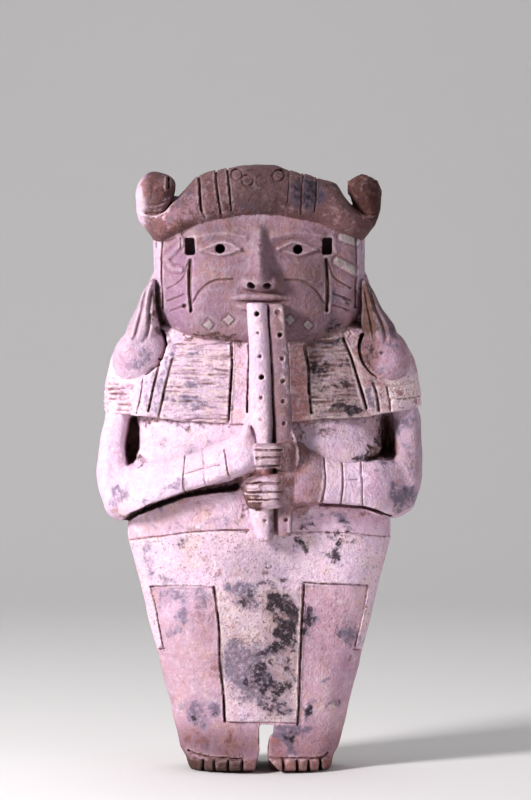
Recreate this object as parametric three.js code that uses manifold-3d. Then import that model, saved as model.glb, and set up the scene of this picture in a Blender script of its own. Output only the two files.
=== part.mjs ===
// A fired-clay effigy of a standing flute player, made as one piece: horned
// turban, flat shoulder cape, ear pendants, two joined flutes held upright,
// belted skirt with a front apron, and low feet.
// Millimetres, +Z up, the front faces -Y, the figure's left and right about X = 0,
// soles on Z = 0.

import * as THREE from 'three';
import { mergeVertices } from 'three/addons/utils/BufferGeometryUtils.js';
import { ParametricGeometry } from 'three/addons/geometries/ParametricGeometry.js';
import Module from 'manifold-3d';

const wasm = await Module();
wasm.setup();

// ---------------------------------------------------------------- sizes, mm

const HEIGHT = 273;            // soles to the top of the turban
const HEAD_HEIGHT = 76;        // chin to the top of the turban
const FACE_HALF = 43;          // half-width of the face
const SIDE_BAND = 5;           // band of the head behind the face, each side
const JAW_SQUARENESS = 3.5;    // 2 is an oval, more is squarer
const BROW_RISE = 5;           // eye line to brow
const EYE_WIDTH = 17;
const EYE_HEIGHT = 6.4;
const PUPIL_R = 1.9;
const NOSTRIL_R = 1.8;
const VENT = { w: 4, h: 7.2, x: 28.6, deep: 16 };    // pierced vent beside each eye

const SKIRT_TOP = 109;         // belt line
const APRON = { left: -19.5, right: 18.4, bottomLeft: -15, bottomRight: 17.4, top: 100, bottom: 22.6, rise: 1.0 };
const LEG_PANEL_TOP = 83.6;
const FOOT_SLOT = { x: 1.6, w: 4.2, top: 21 };
const ARM_RECESS_BACK = 4;     // the recess inside each elbow stops at this Y
const CAPE_SHIFT = 1.35;       // the cape sits a little to one side

const FLUTE_TOP = 211.4;       // mouth end of both flutes
const HOLE_R = 0.9;            // finger holes
const HOLES_A = [[-0.7, 206.4], [-0.5, 197.8], [0.4, 187.3], [0.9, 178.2], [0.9, 168.9], [0.9, 159.3]];
const HOLES_B = [[8.4, 207.1], [9.2, 196.8], [9.9, 186.4], [10.5, 176.6], [11.1, 167.3], [11.3, 157.4]];

const GROOVE = 1.5;            // usual width of a cut line
const CUT = 1.3;               // usual depth of a cut line

// Cross-sections, bottom to top: height, half-width, middle in Y, half-depth
const TRUNK = [
  [0.0, 30.8, -1.6, 25.0],
  [3.0, 32.4, -2.2, 26.4],
  [8.0, 35.2, -1.6, 25.2],
  [14.0, 37.2, 0.2, 22.2],
  [42.0, 44.1, 0.4, 21.4],
  [60.0, 48.3, 0.2, 22.4],
  [78.0, 52.5, 0.0, 23.4],
  [96.0, 57.3, -0.4, 24.4],
  [108.0, 59.6, -0.6, 25.0],
  [126.0, 57.0, -1.2, 25.8],
  [150.0, 55.6, -1.8, 26.2],
  [168.0, 56.4, 0.0, 23.0],
  [184.0, 54.0, 0.2, 22.0],
  [196.0, 42.0, 0.2, 20.4],
  [206.0, 36.0, 0.0, 19.0],
];

const CAPE = [
  [152.0, 71.6, -1.5, 26.3],
  [160.0, 72.0, -1.5, 26.6],
  [168.0, 72.0, -1.2, 26.2],
  [178.0, 70.7, -0.6, 25.2],
  [187.0, 68.2, 0.0, 23.8],
  [194.0, 63.4, 0.4, 21.8],
  [199.0, 54.6, 0.4, 19.4],
  [203.0, 40.0, 0.4, 16.0],
];
const HEM = [[-80, 161.8], [-69.7, 161.8], [-54.9, 160.2], [-34, 158.8], [-13, 157], [23, 158.8], [48, 159.9], [60, 162.4], [72.5, 164.4], [80, 164.8]];

// A plain head: five eyes and a side band each side wide, widest at the eye
// line, closing evenly below it to the chin and above it under the turban.
const headHalf = (z) => {
  const t = HEIGHT - HEAD_HEIGHT / 2 - z;
  const fall = t > 0 ? t / (HEAD_HEIGHT / 2 + 6) : -t / 29;
  return (FACE_HALF + SIDE_BAND) * Math.pow(1 - Math.pow(fall, JAW_SQUARENESS), 1 / JAW_SQUARENESS);
};
const HEAD = [
  [192.6, -3.0, 15.4], [195.4, -3.4, 21.2], [203.0, -3.6, 24.2], [213.0, -3.6, 24.6],
  [234.0, -3.8, 24.0], [244.0, -4.2, 22.6], [254.0, -5.0, 20.0],
].map(([z, y, deep]) => [z, headHalf(z), y, deep]);

// Turban, left to right: X, middle in Y, half-depth, middle in Z, half-height
const TURBAN = [
  [-55.6, -2.6, 8.0, 254.6, 3.6],
  [-52.0, -2.4, 15.6, 251.4, 5.8],
  [-45.0, -3.2, 21.2, 246.5, 8.4],
  [-38.0, -3.0, 24.4, 248.8, 9.0],
  [-31.0, -2.8, 25.8, 253.5, 11.8],
  [-22.0, -2.8, 26.6, 257.0, 13.0],
  [-10.0, -2.8, 27.2, 259.3, 12.9],
  [0.0, -2.8, 27.4, 260.2, 12.8],
  [8.0, -2.8, 27.3, 259.8, 12.9],
  [18.0, -2.8, 26.9, 257.3, 12.2],
  [28.5, -2.8, 26.1, 255.0, 12.2],
  [34.7, -2.9, 25.2, 252.8, 12.2],
  [41.0, -3.1, 23.0, 248.0, 8.6],
  [50.6, -2.4, 15.6, 248.8, 5.0],
  [53.6, -2.6, 8.0, 253.0, 2.8],
];

// Arms. Upper arm: height, middle in X, half-width, middle in Y, half-depth
const UPPER_ARM_L = [   // the player's right
  [112.4, 59.8, 4.0, -3.0, 6.0],
  [115.0, 60.2, 7.4, -3.4, 11.0],
  [119.0, 60.6, 9.2, -3.8, 13.2],
  [127.0, 62.4, 10.1, -4.2, 14.6],
  [137.0, 64.9, 8.2, -3.4, 14.8],
  [148.0, 65.4, 6.6, -2.4, 14.8],
  [158.0, 63.9, 6.2, -2.0, 14.8],
  [172.0, 60.0, 8.0, -1.0, 12.0],
];
const UPPER_ARM_R = [
  [114.4, 59.0, 4.0, -3.0, 6.0],
  [117.0, 59.8, 7.4, -3.4, 11.0],
  [120.0, 60.6, 9.4, -3.8, 13.2],
  [127.0, 62.6, 10.4, -4.2, 14.6],
  [137.0, 66.0, 8.0, -3.4, 14.8],
  [148.0, 67.4, 6.2, -2.4, 14.8],
  [158.0, 67.0, 6.2, -2.0, 14.8],
  [172.0, 60.0, 8.0, -1.0, 12.0],
];
// Forearms: distance out from the middle, middle in Y, half-depth, middle in Z, half-height
// Clay behind each elbow: height, middle in X, half-width, middle in Y, half-depth
const BEHIND_ARM = [
  [117.0, 52.0, 6.0, 3.0, 6.0],
  [126.0, 54.5, 8.6, 4.6, 8.6],
  [150.0, 55.5, 8.8, 5.0, 8.8],
  [166.0, 54.5, 8.4, 4.4, 8.0],
  [174.0, 52.0, 6.0, 3.0, 6.0],
];
const FOREARM_A = [   // the player's right arm, upper hand
  [67.0, -6.0, 9.0, 127.5, 9.0],
  [62.0, -10.0, 12.0, 126.6, 11.6],
  [54.0, -16.0, 12.2, 127.6, 12.2],
  [46.0, -20.4, 11.4, 130.4, 10.8],
  [36.0, -24.0, 10.4, 133.8, 9.0],
  [28.0, -26.6, 9.8, 136.6, 8.3],
  [18.0, -30.0, 8.8, 140.4, 8.6],
  [8.0, -32.2, 8.0, 144.0, 8.4],
  [3.0, -33.2, 6.0, 144.6, 6.6],
];
const FOREARM_B = [   // the player's left arm, lower hand
  [67.0, -6.0, 9.0, 128.5, 9.4],
  [62.0, -10.0, 12.0, 128.0, 12.0],
  [54.0, -16.0, 12.2, 128.6, 12.6],
  [46.0, -19.8, 11.2, 130.0, 11.2],
  [38.0, -22.4, 10.6, 130.6, 10.0],
  [30.0, -25.0, 10.2, 131.6, 10.4],
  [22.0, -28.0, 9.4, 133.4, 12.0],
  [15.0, -30.0, 8.0, 133.6, 12.0],
];
// Fists: X, middle in Y, half-depth, middle in Z, half-height
const FIST_A = [
  [-3.4, -34.4, 2.2, 143.2, 3.8],
  [-1.8, -35.4, 4.0, 143.1, 5.0],
  [4.0, -36.4, 5.2, 143.1, 5.4],
  [10.0, -36.2, 4.9, 142.2, 6.5],
  [14.0, -35.7, 4.2, 142.4, 7.2],
  [16.6, -35.0, 2.6, 143.2, 6.2],
];
const FIST_B = [
  [-7.2, -33.4, 2.0, 128.9, 2.0],
  [-5.0, -35.4, 4.2, 127.0, 5.4],
  [-1.0, -36.5, 5.0, 126.5, 7.0],
  [5.0, -36.7, 5.0, 127.2, 7.4],
  [10.0, -35.8, 4.6, 127.7, 7.3],
  [17.0, -33.4, 3.8, 128.4, 8.2],
];
// Flutes: height, middle in X, half-width, middle in Y, half-depth
const FLUTE_A = [       // rounder, its lower end hangs lower
  [104.8, 2.7, 3.3, -31.0, 3.7],
  [111.0, 1.9, 4.5, -32.4, 4.5],
  [118.4, 1.0, 5.2, -33.2, 4.9],
  [146.0, 2.2, 3.6, -33.8, 4.4],
  [154.0, 1.7, 4.3, -33.7, 4.9],
  [162.0, 1.0, 5.1, -33.6, 5.0],
  [190.0, 0.0, 4.75, -33.0, 5.0],
  [FLUTE_TOP, -1.1, 4.5, -32.4, 4.7],
];
const FLUTE_B = [
  [107.0, 11.2, 3.1, -30.4, 3.2],
  [116.0, 11.1, 3.6, -31.2, 4.0],
  [140.0, 11.2, 4.0, -32.2, 4.2],
  [165.0, 10.5, 4.05, -32.0, 4.4],
  [196.6, 8.5, 3.8, -31.6, 4.3],
  [FLUTE_TOP - 0.4, 7.7, 3.4, -31.2, 4.2],
];
const FINGER_LINES_A = [145.8, 142.3, 138.6];
const FINGER_LINES_B = [130.6, 126.9, 123.8, 120.6];

// Ornaments
const ROLL_L = { x: -46.4, y: -11.5, z: 259.4, rx: 9.3, ry: 13.0, rz: 11.2 };
const ROLL_R = { x: 46.8, y: -11.5, z: 259.8, rx: 7.7, ry: 12.0, rz: 9.0 };
const LOBES = [     // ear drops: side, place, long and short half-sizes, lean in degrees
  { side: -1, x: -54.2, z: 188.4, long: 13.8, short: 11.0, turn: 55 },
  { side: 1, x: 56.4, z: 187.2, long: 13.0, short: 11.2, turn: 122 },
];
const LOBE_Y = -12.5;
const LOBE_DEPTH = 11.0;
const FAN = { top: 220, low: 200, xTop: 47.4, xLow: 52.6, halfTop: 1.6, halfLow: 7.2, y: -13.2, ry: 9.4 };
const TURBAN_LINES_L = [[-27.4, 266, -25.8, 252.4], [-19.4, 269, -17.2, 251.6], [-14.3, 270, -12.2, 252.9]];
const TURBAN_LINES_R = [[13.9, 271, 12.9, 255.6], [20.3, 270, 18.4, 250.7], [26.2, 268, 24.6, 252.0]];
const BRACELET_A = [-33.3, -24.3, -14.8];
const BRACELET_B = [28.4, 36.9, 45.4];

// ------------------------------------------------------------- shape helpers

function toSolid(geometry) {
  geometry.deleteAttribute('normal');
  geometry.deleteAttribute('uv');
  const merged = mergeVertices(geometry, 1e-5);
  const points = Float32Array.from(merged.attributes.position.array);
  const index = merged.index.array;
  const make = (flip) => {
    const tris = [];
    for (let i = 0; i < index.length; i += 3) {
      const [a, b, c] = [index[i], index[i + 1], index[i + 2]];
      if (a !== b && b !== c && c !== a) tris.push(a, flip ? c : b, flip ? b : c);
    }
    return new wasm.Manifold(new wasm.Mesh({
      numProp: 3, vertProperties: points, triVerts: Uint32Array.from(tris),
    }));
  };
  const solid = make(false);
  return solid.volume() < 0 ? make(true) : solid;
}

// A closed skin over rings of equal count, closed at both ends by a fan.
function skin(rings) {
  const n = rings[0].length;
  const middle = (ring) => ring
    .reduce((sum, p) => sum.add(p), new THREE.Vector3())
    .divideScalar(ring.length);
  const all = [
    Array(n).fill(middle(rings[0])), ...rings, Array(n).fill(middle(rings[rings.length - 1])),
  ];
  const at = (u, v, target) => target.copy(
    all[Math.round(v * (all.length - 1))][Math.round(u * n) % n],
  );
  return toSolid(new ParametricGeometry(at, n, all.length - 1));
}

// Smooth, never overshooting, interpolation of table rows over their first column.
function rowAt(table, s) {
  const last = table.length - 1;
  let k = 0;
  while (k < last - 1 && s > table[k + 1][0]) k += 1;
  const slope = (i, c) => {
    if (i === 0 || i === last) {
      const j = i === 0 ? 0 : last - 1;
      return (table[j + 1][c] - table[j][c]) / (table[j + 1][0] - table[j][0]);
    }
    const a = (table[i][c] - table[i - 1][c]) / (table[i][0] - table[i - 1][0]);
    const b = (table[i + 1][c] - table[i][c]) / (table[i + 1][0] - table[i][0]);
    return a * b <= 0 ? 0 : (2 * a * b) / (a + b);
  };
  const h = table[k + 1][0] - table[k][0];
  const t = THREE.MathUtils.clamp((s - table[k][0]) / h, 0, 1);
  return table[k].map((_, c) => {
    if (c === 0) return s;
    const [p, q] = [table[k][c], table[k + 1][c]];
    const [m, n] = [slope(k, c) * h, slope(k + 1, c) * h];
    return (2 * t ** 3 - 3 * t ** 2 + 1) * p + (t ** 3 - 2 * t ** 2 + t) * m
      + (3 * t ** 2 - 2 * t ** 3) * q + (t ** 3 - t ** 2) * n;
  });
}

const squircle = (angle, power) => {
  const c = Math.cos(angle);
  const s = Math.sin(angle);
  return [
    Math.sign(c) * Math.abs(c) ** (2 / power), Math.sign(s) * Math.abs(s) ** (2 / power),
  ];
};

// A body of rounded sections stacked along Z: rows of height, half-width, middle Y, half-depth.
function stack(table, { sides = 32, steps = 2, power = 2.6, grow = 0, from = -1e9, to = 1e9 } = {}) {
  const heights = [];
  for (let k = 0; k < table.length - 1; k += 1) {
    for (let j = 0; j < steps; j += 1) {
      heights.push(THREE.MathUtils.lerp(table[k][0], table[k + 1][0], j / steps));
    }
  }
  heights.push(table[table.length - 1][0]);
  const used = heights.filter((z) => z > from && z < to);
  if (from > heights[0]) used.unshift(from);
  if (to < heights[heights.length - 1]) used.push(to);
  return skin(used.map((z) => {
    const [, half, y, deep] = rowAt(table, z);
    return Array.from({ length: sides }, (_, i) => {
      const [c, s] = squircle((i / sides) * Math.PI * 2, power);
      return new THREE.Vector3(c * (half + grow), y - s * (deep + grow), z);
    });
  }));
}

// A limb of rounded sections. axis 'x': rows of X, middle Y, half-depth, middle Z, half-height.
// axis 'z': rows of Z, middle X, half-width, middle Y, half-depth.
function limb(axis, table, { sides = 16, steps = 2, power = 2.2, mirror = 1 } = {}) {
  const places = [];
  for (let k = 0; k < table.length - 1; k += 1) {
    for (let j = 0; j < steps; j += 1) {
      places.push(THREE.MathUtils.lerp(table[k][0], table[k + 1][0], j / steps));
    }
  }
  places.push(table[table.length - 1][0]);
  const up = table[0][0] < table[table.length - 1][0] ? table : [...table].reverse();
  return skin(places.map((s) => {
    const [, c1, h1, c2, h2] = rowAt(up, s);
    return Array.from({ length: sides }, (_, i) => {
      const [c, d] = squircle(((i + 0.5) / sides) * Math.PI * 2, power);
      const [a, b] = [c1 + c * h1, c2 + d * h2];
      return axis === 'x'
        ? new THREE.Vector3(mirror * s, a, b)
        : new THREE.Vector3(mirror * a, b, s);
    });
  }));
}

// A round bar through points, with a radius at each point and rounded ends.
function bar(points, radii, { sides = 8, flat = 1 } = {}) {
  const curve = new THREE.CatmullRomCurve3(points.map((p) => new THREE.Vector3(...p)), false, 'centripetal');
  const count = (points.length - 1) * 2;
  const rings = [];
  const ringAt = (centre, tangent, r) => {
    const up = Math.abs(tangent.z) > 0.9 ? new THREE.Vector3(1, 0, 0) : new THREE.Vector3(0, 0, 1);
    const side = new THREE.Vector3().crossVectors(tangent, up).normalize();
    const other = new THREE.Vector3().crossVectors(side, tangent).normalize();
    return Array.from({ length: sides }, (_, i) => {
      const a = ((i + 0.5) / sides) * Math.PI * 2;
      return centre.clone()
        .addScaledVector(side, Math.cos(a) * r * flat)
        .addScaledVector(other, Math.sin(a) * r);
    });
  };
  for (let i = 0; i <= count; i += 1) {
    const t = i / count;
    const f = t * (radii.length - 1);
    const k = Math.min(Math.floor(f), radii.length - 2);
    const r = THREE.MathUtils.lerp(radii[k], radii[k + 1], f - k);
    const centre = curve.getPoint(t);
    const tangent = curve.getTangent(t);
    if (i === 0) rings.push(ringAt(centre.clone().addScaledVector(tangent, -r * 0.75), tangent, r * 0.5));
    rings.push(ringAt(centre, tangent, r));
    if (i === count) rings.push(ringAt(centre.clone().addScaledVector(tangent, r * 0.75), tangent, r * 0.5));
  }
  return skin(rings);
}

function egg(x, y, z, rx, ry, rz, sides = 16, rows = 10) {
  const g = new THREE.SphereGeometry(1, sides, rows);
  g.rotateX(Math.PI / 2);
  g.scale(rx, ry, rz);
  g.translate(x, y, z);
  return toSolid(g);
}

function block(x, y, z, w, d, h) {
  const g = new THREE.BoxGeometry(w, d, h);
  g.translate(x, y, z);
  return toSolid(g);
}

// A flat plate: an outline of X and Z pairs, thick along Y.
function plate(outline, yFront, yBack) {
  const shape = new THREE.Shape(outline.map(([x, z]) => new THREE.Vector2(x, z)));
  const g = new THREE.ExtrudeGeometry(shape, { depth: yBack - yFront, bevelEnabled: false });
  g.rotateX(Math.PI / 2);
  g.translate(0, yBack, 0);
  return toSolid(g);
}

// A line of constant width, drawn in X and Z, thick along Y.
function stroke(points, width, yFront, yBack) {
  const p = points.map(([x, z]) => new THREE.Vector2(x, z));
  const left = [];
  const right = [];
  p.forEach((q, i) => {
    const t = p[Math.min(i + 1, p.length - 1)].clone().sub(p[Math.max(i - 1, 0)]).normalize();
    const n = new THREE.Vector2(-t.y, t.x).multiplyScalar(width / 2);
    left.push(q.clone().add(n));
    right.push(q.clone().sub(n));
  });
  return plate([...left, ...right.reverse()].map((q) => [q.x, q.y]), yFront, yBack);
}

function hole(x, y, z, r, length, sides = 8) {
  const g = new THREE.CylinderGeometry(r, r, length, sides);
  g.translate(x, y, z);
  return toSolid(g);
}

const join = (list) => list.reduce((a, b) => a.add(b));

// ------------------------------------------------------------------ the body

const EYE_Z = HEIGHT - HEAD_HEIGHT / 2;                   // eyes half-way up the head
const CHIN_Z = HEIGHT - HEAD_HEIGHT;
const BROW_Z = EYE_Z + BROW_RISE;
const NOSE_Z = (BROW_Z + CHIN_Z) / 2;                     // base of the nose
const MOUTH_Z = NOSE_Z - (NOSE_Z - CHIN_Z) / 3;
const EYE_X = FACE_HALF * 2 / 5 + 1;

const FRONT = -80;      // clear of everything in front
const BACK = 80;

const capeAt = (grow) => stack(CAPE, { sides: 28, steps: 1, power: 2.7, grow }).translate([CAPE_SHIFT, 0, 0]);
let figure = join([
  stack(TRUNK, { sides: 28, steps: 1, power: 2.7 }),
  capeAt(0).subtract(plate([...HEM, [80, 140], [-80, 140]], FRONT, BACK)),
  stack(HEAD, { sides: 28, steps: 1, power: 2.8 }),
]);

// Raised apron with a cut line down each side, and the lines of the leg panels.
const trunkOver = stack(TRUNK, { sides: 28, steps: 1, power: 2.7, grow: APRON.rise, from: 10, to: 130 });
const trunkUnder = stack(TRUNK, { sides: 28, steps: 1, power: 2.7, grow: -CUT, from: 10, to: 130 });
const apron = plate([
  [APRON.left, APRON.top], [APRON.bottomLeft, APRON.bottom],
  [APRON.bottomRight, APRON.bottom], [APRON.right, APRON.top],
], FRONT, 0).intersect(trunkOver);
figure = figure.add(apron);

const skirtLines = join([
  stroke([[-57.5, 105.6], [-38, 108.2], [-6, 109]], GROOVE, FRONT, 2),
  stroke([[15, 109], [36, 107.8], [58, 105.6]], GROOVE, FRONT, 2),
  stroke([[APRON.left - 0.8, LEG_PANEL_TOP + 0.6], [APRON.bottomLeft - 0.8, APRON.bottom]], GROOVE, FRONT, 0),
  stroke([[APRON.right + 0.8, LEG_PANEL_TOP + 0.6], [APRON.bottomRight + 0.8, APRON.bottom]], GROOVE, FRONT, 0),
  stroke([[-49, LEG_PANEL_TOP - 0.2], [-20, LEG_PANEL_TOP]], GROOVE, FRONT, 0),
  stroke([[19, LEG_PANEL_TOP + 2.4], [49.5, LEG_PANEL_TOP + 0.8]], GROOVE, FRONT, 0),
]);
figure = figure.subtract(skirtLines.subtract(trunkUnder));

// ------------------------------------------------------------ turban and head

figure = figure.add(limb('x', TURBAN, { sides: 14, steps: 1, power: 2.9 }));
for (const roll of [ROLL_L, ROLL_R]) {
  figure = figure.add(egg(roll.x, roll.y, roll.z, roll.rx, roll.ry, roll.rz, 11, 8));
  figure = figure.subtract(
    plate([
      [roll.x - 12, roll.z - 8.6], [roll.x, roll.z - 10.2], [roll.x + 12, roll.z - 8.6],
      [roll.x + 12, roll.z - 7.4], [roll.x, roll.z - 9.0], [roll.x - 12, roll.z - 7.4],
    ], FRONT, -18),
  );
}
const turbanUnder = limb('x', TURBAN.map(([x, y, dy, z, dz]) => [x, y, dy - CUT, z, dz - CUT]), { sides: 14, steps: 1, power: 2.9 });
const turbanLines = join([...TURBAN_LINES_L, ...TURBAN_LINES_R].map(
  ([x0, z0, x1, z1]) => stroke([[x0, z0 + 8], [x1, z1]], GROOVE, FRONT, -4),
));
figure = figure.subtract(turbanLines.subtract(turbanUnder));

// Eyes: a raised almond with a punched pupil, under a straight brow.
const faceY = -27.6;
for (const side of [-1, 1]) {
  const almond = egg(side * EYE_X, faceY + 0.6, EYE_Z, EYE_WIDTH / 2, 2.0, EYE_HEIGHT / 2, 10, 6);
  figure = figure.add(almond);
  figure = figure.subtract(hole(side * EYE_X, faceY, EYE_Z, PUPIL_R, 16, 6));
  figure = figure.subtract(block(side * VENT.x, faceY + VENT.deep / 2 - 4, EYE_Z + 0.8, VENT.w, VENT.deep, VENT.h));
  // Long vertical cut in the cheek.
  figure = figure.subtract(block(side * (VENT.x + 1.2), faceY + 0.4, (EYE_Z + MOUTH_Z) / 2 - 5, 1.7, 4.4, 22));
}

// Nose: one eye wide at the base, running up to the brow, with two nostrils.
const noseHalf = EYE_WIDTH / 2 - 0.4;
const nose = skin([
  [BROW_Z + 4, 2.6, 1.0], [BROW_Z, 3.4, 3.4], [(BROW_Z + NOSE_Z) / 2, 5.0, 7.6],
  [NOSE_Z + 4, 7.4, 11.0], [NOSE_Z + 0.6, noseHalf, 11.2], [NOSE_Z - 1.4, noseHalf - 1.6, 8.0],
].map(([z, half, out]) => Array.from({ length: 12 }, (_, i) => {
  const [c, s] = squircle(((i + 0.5) / 12) * Math.PI * 2, 1.8);
  return new THREE.Vector3(c * half, faceY + 3 - s * (out + 3) * 0.98, z);
})));
figure = figure.add(nose);
for (const side of [-1, 1]) {
  figure = figure.subtract(egg(side * 3.4, faceY - 7.4, NOSE_Z - 0.6, NOSTRIL_R, 2.4, 4.2, 6, 4));
}
// Mouth: a straight slit over the flute ends, with a low lip each side of it.
const mouth = bar([[-16, faceY + 0.4, MOUTH_Z - 0.6], [0, faceY - 3, MOUTH_Z + 0.4], [17, faceY + 0.4, MOUTH_Z - 0.6]], [1.6, 2.2, 1.6], { sides: 8 });
figure = figure.add(mouth);
figure = figure.subtract(stroke([[-15, MOUTH_Z - 0.8], [0, MOUTH_Z + 0.2], [16, MOUTH_Z - 0.8]], 1.5, FRONT, faceY - 0.2));

// ------------------------------------------------------------- ear ornaments

for (const { side, x, z, long, short, turn } of LOBES) {
  const g = new THREE.SphereGeometry(1, 12, 8);
  g.rotateX(Math.PI / 2);
  g.scale(long, LOBE_DEPTH, short);
  g.rotateY(-THREE.MathUtils.degToRad(turn));
  g.translate(x, LOBE_Y, z);
  const fan = skin([
    [FAN.top + 2, FAN.xTop, FAN.halfTop * 0.6, FAN.ry * 0.5],
    [FAN.top - 3, FAN.xTop + 0.8, FAN.halfTop * 1.6, FAN.ry * 0.85],
    [(FAN.top + FAN.low) / 2, (FAN.xTop + FAN.xLow) / 2 + 0.2, (FAN.halfTop + FAN.halfLow) / 2, FAN.ry],
    [FAN.low, FAN.xLow, FAN.halfLow, FAN.ry * 1.03],
    [FAN.low - 8, FAN.xLow + 1.6, FAN.halfLow, FAN.ry * 0.9],
  ].map(([h, mid, half, deep]) => Array.from({ length: 10 }, (_, i) => {
    const [c, s] = squircle(((i + 0.5) / 10) * Math.PI * 2, 2.4);
    return new THREE.Vector3(side * (mid + c * half), FAN.y - s * deep, h);
  })));
  figure = figure.add(join([toSolid(g), fan]));
  for (const t of [-0.36, 0.36]) {
    figure = figure.subtract(stroke([
      [side * (FAN.xTop + 1 + t * FAN.halfTop * 1.8), FAN.top - 3],
      [side * (FAN.xLow + t * FAN.halfLow), FAN.low - 1],
    ], 1.1, FRONT, FAN.y - FAN.ry + 1.4));
  }
}

// ------------------------------------------------- arms, hands and the flutes

for (const [side, table] of [[-1, UPPER_ARM_L], [1, UPPER_ARM_R]]) {
  figure = figure.add(limb('z', table, { sides: 10, steps: 1, power: 2.6, mirror: side }));
  // Behind the arm the clay is one with the back.
  figure = figure.add(limb('z', BEHIND_ARM, { sides: 6, steps: 1, power: 2.2, mirror: side }));
  // The chest swells out to meet the forearm.
  figure = figure.add(egg(side * 29, -13, 142.5, 27, 14.4, 12, 10, 6));
}
const forearmA = limb('x', FOREARM_A, { sides: 12, steps: 1, power: 2.3, mirror: -1 });
const forearmB = limb('x', FOREARM_B, { sides: 12, steps: 1, power: 2.3, mirror: 1 });

// A web of clay behind the flutes ties them to the chest.
const web = plate([[-1.8, 107], [14.2, 110], [14.4, 152], [10.8, 205], [-4.2, 205], [-4.2, 150], [-1.8, 142]], -31, -10);
const flutes = join([
  web,
  limb('z', FLUTE_A, { sides: 12, steps: 1, power: 2.1 }),
  limb('z', FLUTE_B, { sides: 10, steps: 1, power: 2.4 }),
]);
figure = join([figure, forearmA, forearmB, flutes]);

// Finger holes down both flutes.
for (const [x, z] of HOLES_A) figure = figure.subtract(hole(x, -39.0, z, HOLE_R, 5, 5));
for (const [x, z] of HOLES_B) figure = figure.subtract(hole(x, -37.2, z, HOLE_R, 5, 5));

// A recess inside each elbow, closed at the back, and a crevice under the upper forearm.
const recessA = [[-59.2, 156.6], [-57.6, 159.8], [-55.6, 158.8], [-53.9, 154.8], [-53.8, 145.8], [-56.7, 139], [-59.2, 138.2], [-60.7, 142.2]];
const recessB = [[55.8, 159.8], [59.4, 160.4], [61.0, 153.9], [62.5, 145], [60.9, 141.1], [48.2, 141.0], [52.7, 143.6], [54.9, 147.6]];
for (const outline of [recessA, recessB]) figure = figure.subtract(plate(outline, FRONT, ARM_RECESS_BACK));
figure = figure.subtract(plate([[-57.6, 116.3], [-39.6, 124.1], [-22.5, 128.7], [-5.9, 133.5], [-7.2, 128.3], [-20.2, 126.1], [-36.9, 122.8], [-54.4, 115.5]], FRONT, -17));

// Hands: a rounded fist over the flutes with a cut line between the fingers.
const palmA = egg(-6.8, -33.4, 146.0, 8.0, 6.6, 12.0, 10, 6);
const palmB = egg(19.0, -31.0, 133.8, 9.4, 7.0, 13.6, 10, 6);
const fistA = limb('x', FIST_A, { sides: 12, steps: 1, power: 2.6 });
const fistB = limb('x', FIST_B, { sides: 12, steps: 1, power: 2.6 });
figure = join([figure, palmA, palmB, fistA, fistB]);
figure = figure.subtract(join(FINGER_LINES_A.map((z) => stroke([[-1, z + 0.3], [6, z], [10.6, z]], 1.1, FRONT, -40.2))));
figure = figure.subtract(join(FINGER_LINES_B.map((z) => stroke([[-5.4, z - 0.3], [2, z], [9.4, z + 0.4]], 1.1, FRONT, -40.2))));

// Bracelets: three cut lines round each wrist and one along them.
const cutArm = (table, mirror) => limb('x', table.map(([x, y, dy, z, dz]) => [x, y, dy - CUT, z, dz - CUT]), { sides: 12, steps: 1, power: 2.3, mirror });
const wristA = join(BRACELET_A.map((x) => stroke([[x - 0.8, 156], [x + 0.8, 118]], GROOVE, FRONT, -14)));
const wristB = join(BRACELET_B.map((x) => stroke([[x, 146], [x - 0.6, 116]], GROOVE, FRONT, -14)));
// Each cut reaches only as deep as CUT below its arm, and leaves the body behind alone.
const overArm = (table, mirror) => limb('x', table.map(([x, y, dy, z, dz]) => [x, y - 1, dy + 1.0, z, dz + 1.4]), { sides: 12, steps: 1, power: 2.3, mirror });
const trunkGuard = stack(TRUNK, { sides: 28, steps: 1, power: 2.7, grow: 0.3, from: 100, to: 170 });
figure = figure.subtract(wristA.intersect(overArm(FOREARM_A, -1)).subtract(cutArm(FOREARM_A, -1)).subtract(trunkGuard));
figure = figure.subtract(wristB.intersect(overArm(FOREARM_B, 1)).subtract(cutArm(FOREARM_B, 1)).subtract(trunkGuard));

// Cape panels: the long cut lines down each side of the chest.
const capeUnder = capeAt(-CUT);
const capeLines = join([
  stroke([[-12.2, 193], [-13.6, 156]], GROOVE * 1.2, FRONT, 2),
  stroke([[-38.6, 193], [-44.4, 156]], GROOVE, FRONT, 2),
  stroke([[21.2, 193], [23.4, 156]], GROOVE * 1.2, FRONT, 2),
  stroke([[38.6, 194], [46.8, 156]], GROOVE, FRONT, 2),
]);
const trunkGuardHigh = stack(TRUNK, { sides: 28, steps: 1, power: 2.7, grow: -0.4, from: 140, to: 205 });
figure = figure.subtract(capeLines.subtract(capeUnder).subtract(trunkGuardHigh));

// ------------------------------------------------------------------ the feet

// The gap between the legs, cut right through, and four lines between the toes of each foot.
figure = figure.subtract(block(FOOT_SLOT.x, 0, FOOT_SLOT.top / 2 - 5, FOOT_SLOT.w, 120, FOOT_SLOT.top + 10));
const toeLines = [-25.2, -20.0, -14.0, -8.0, 11.2, 17.2, 22.4, 27.4];
figure = figure.subtract(join(toeLines.map((x) => block(x, -27.6, 3.0, 1.3, 6.6, 9.2))));
figure = figure.subtract(join([
  stroke([[-32.6, 8.6], [-18, 7.6], [-6.3, 7.2]], 1.4, FRONT, -24.4),
  stroke([[5.2, 7.0], [18, 7.0], [29.7, 7.4]], 1.4, FRONT, -24.4),
]));

// --------------------------------------------------------------- the exported group

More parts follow.
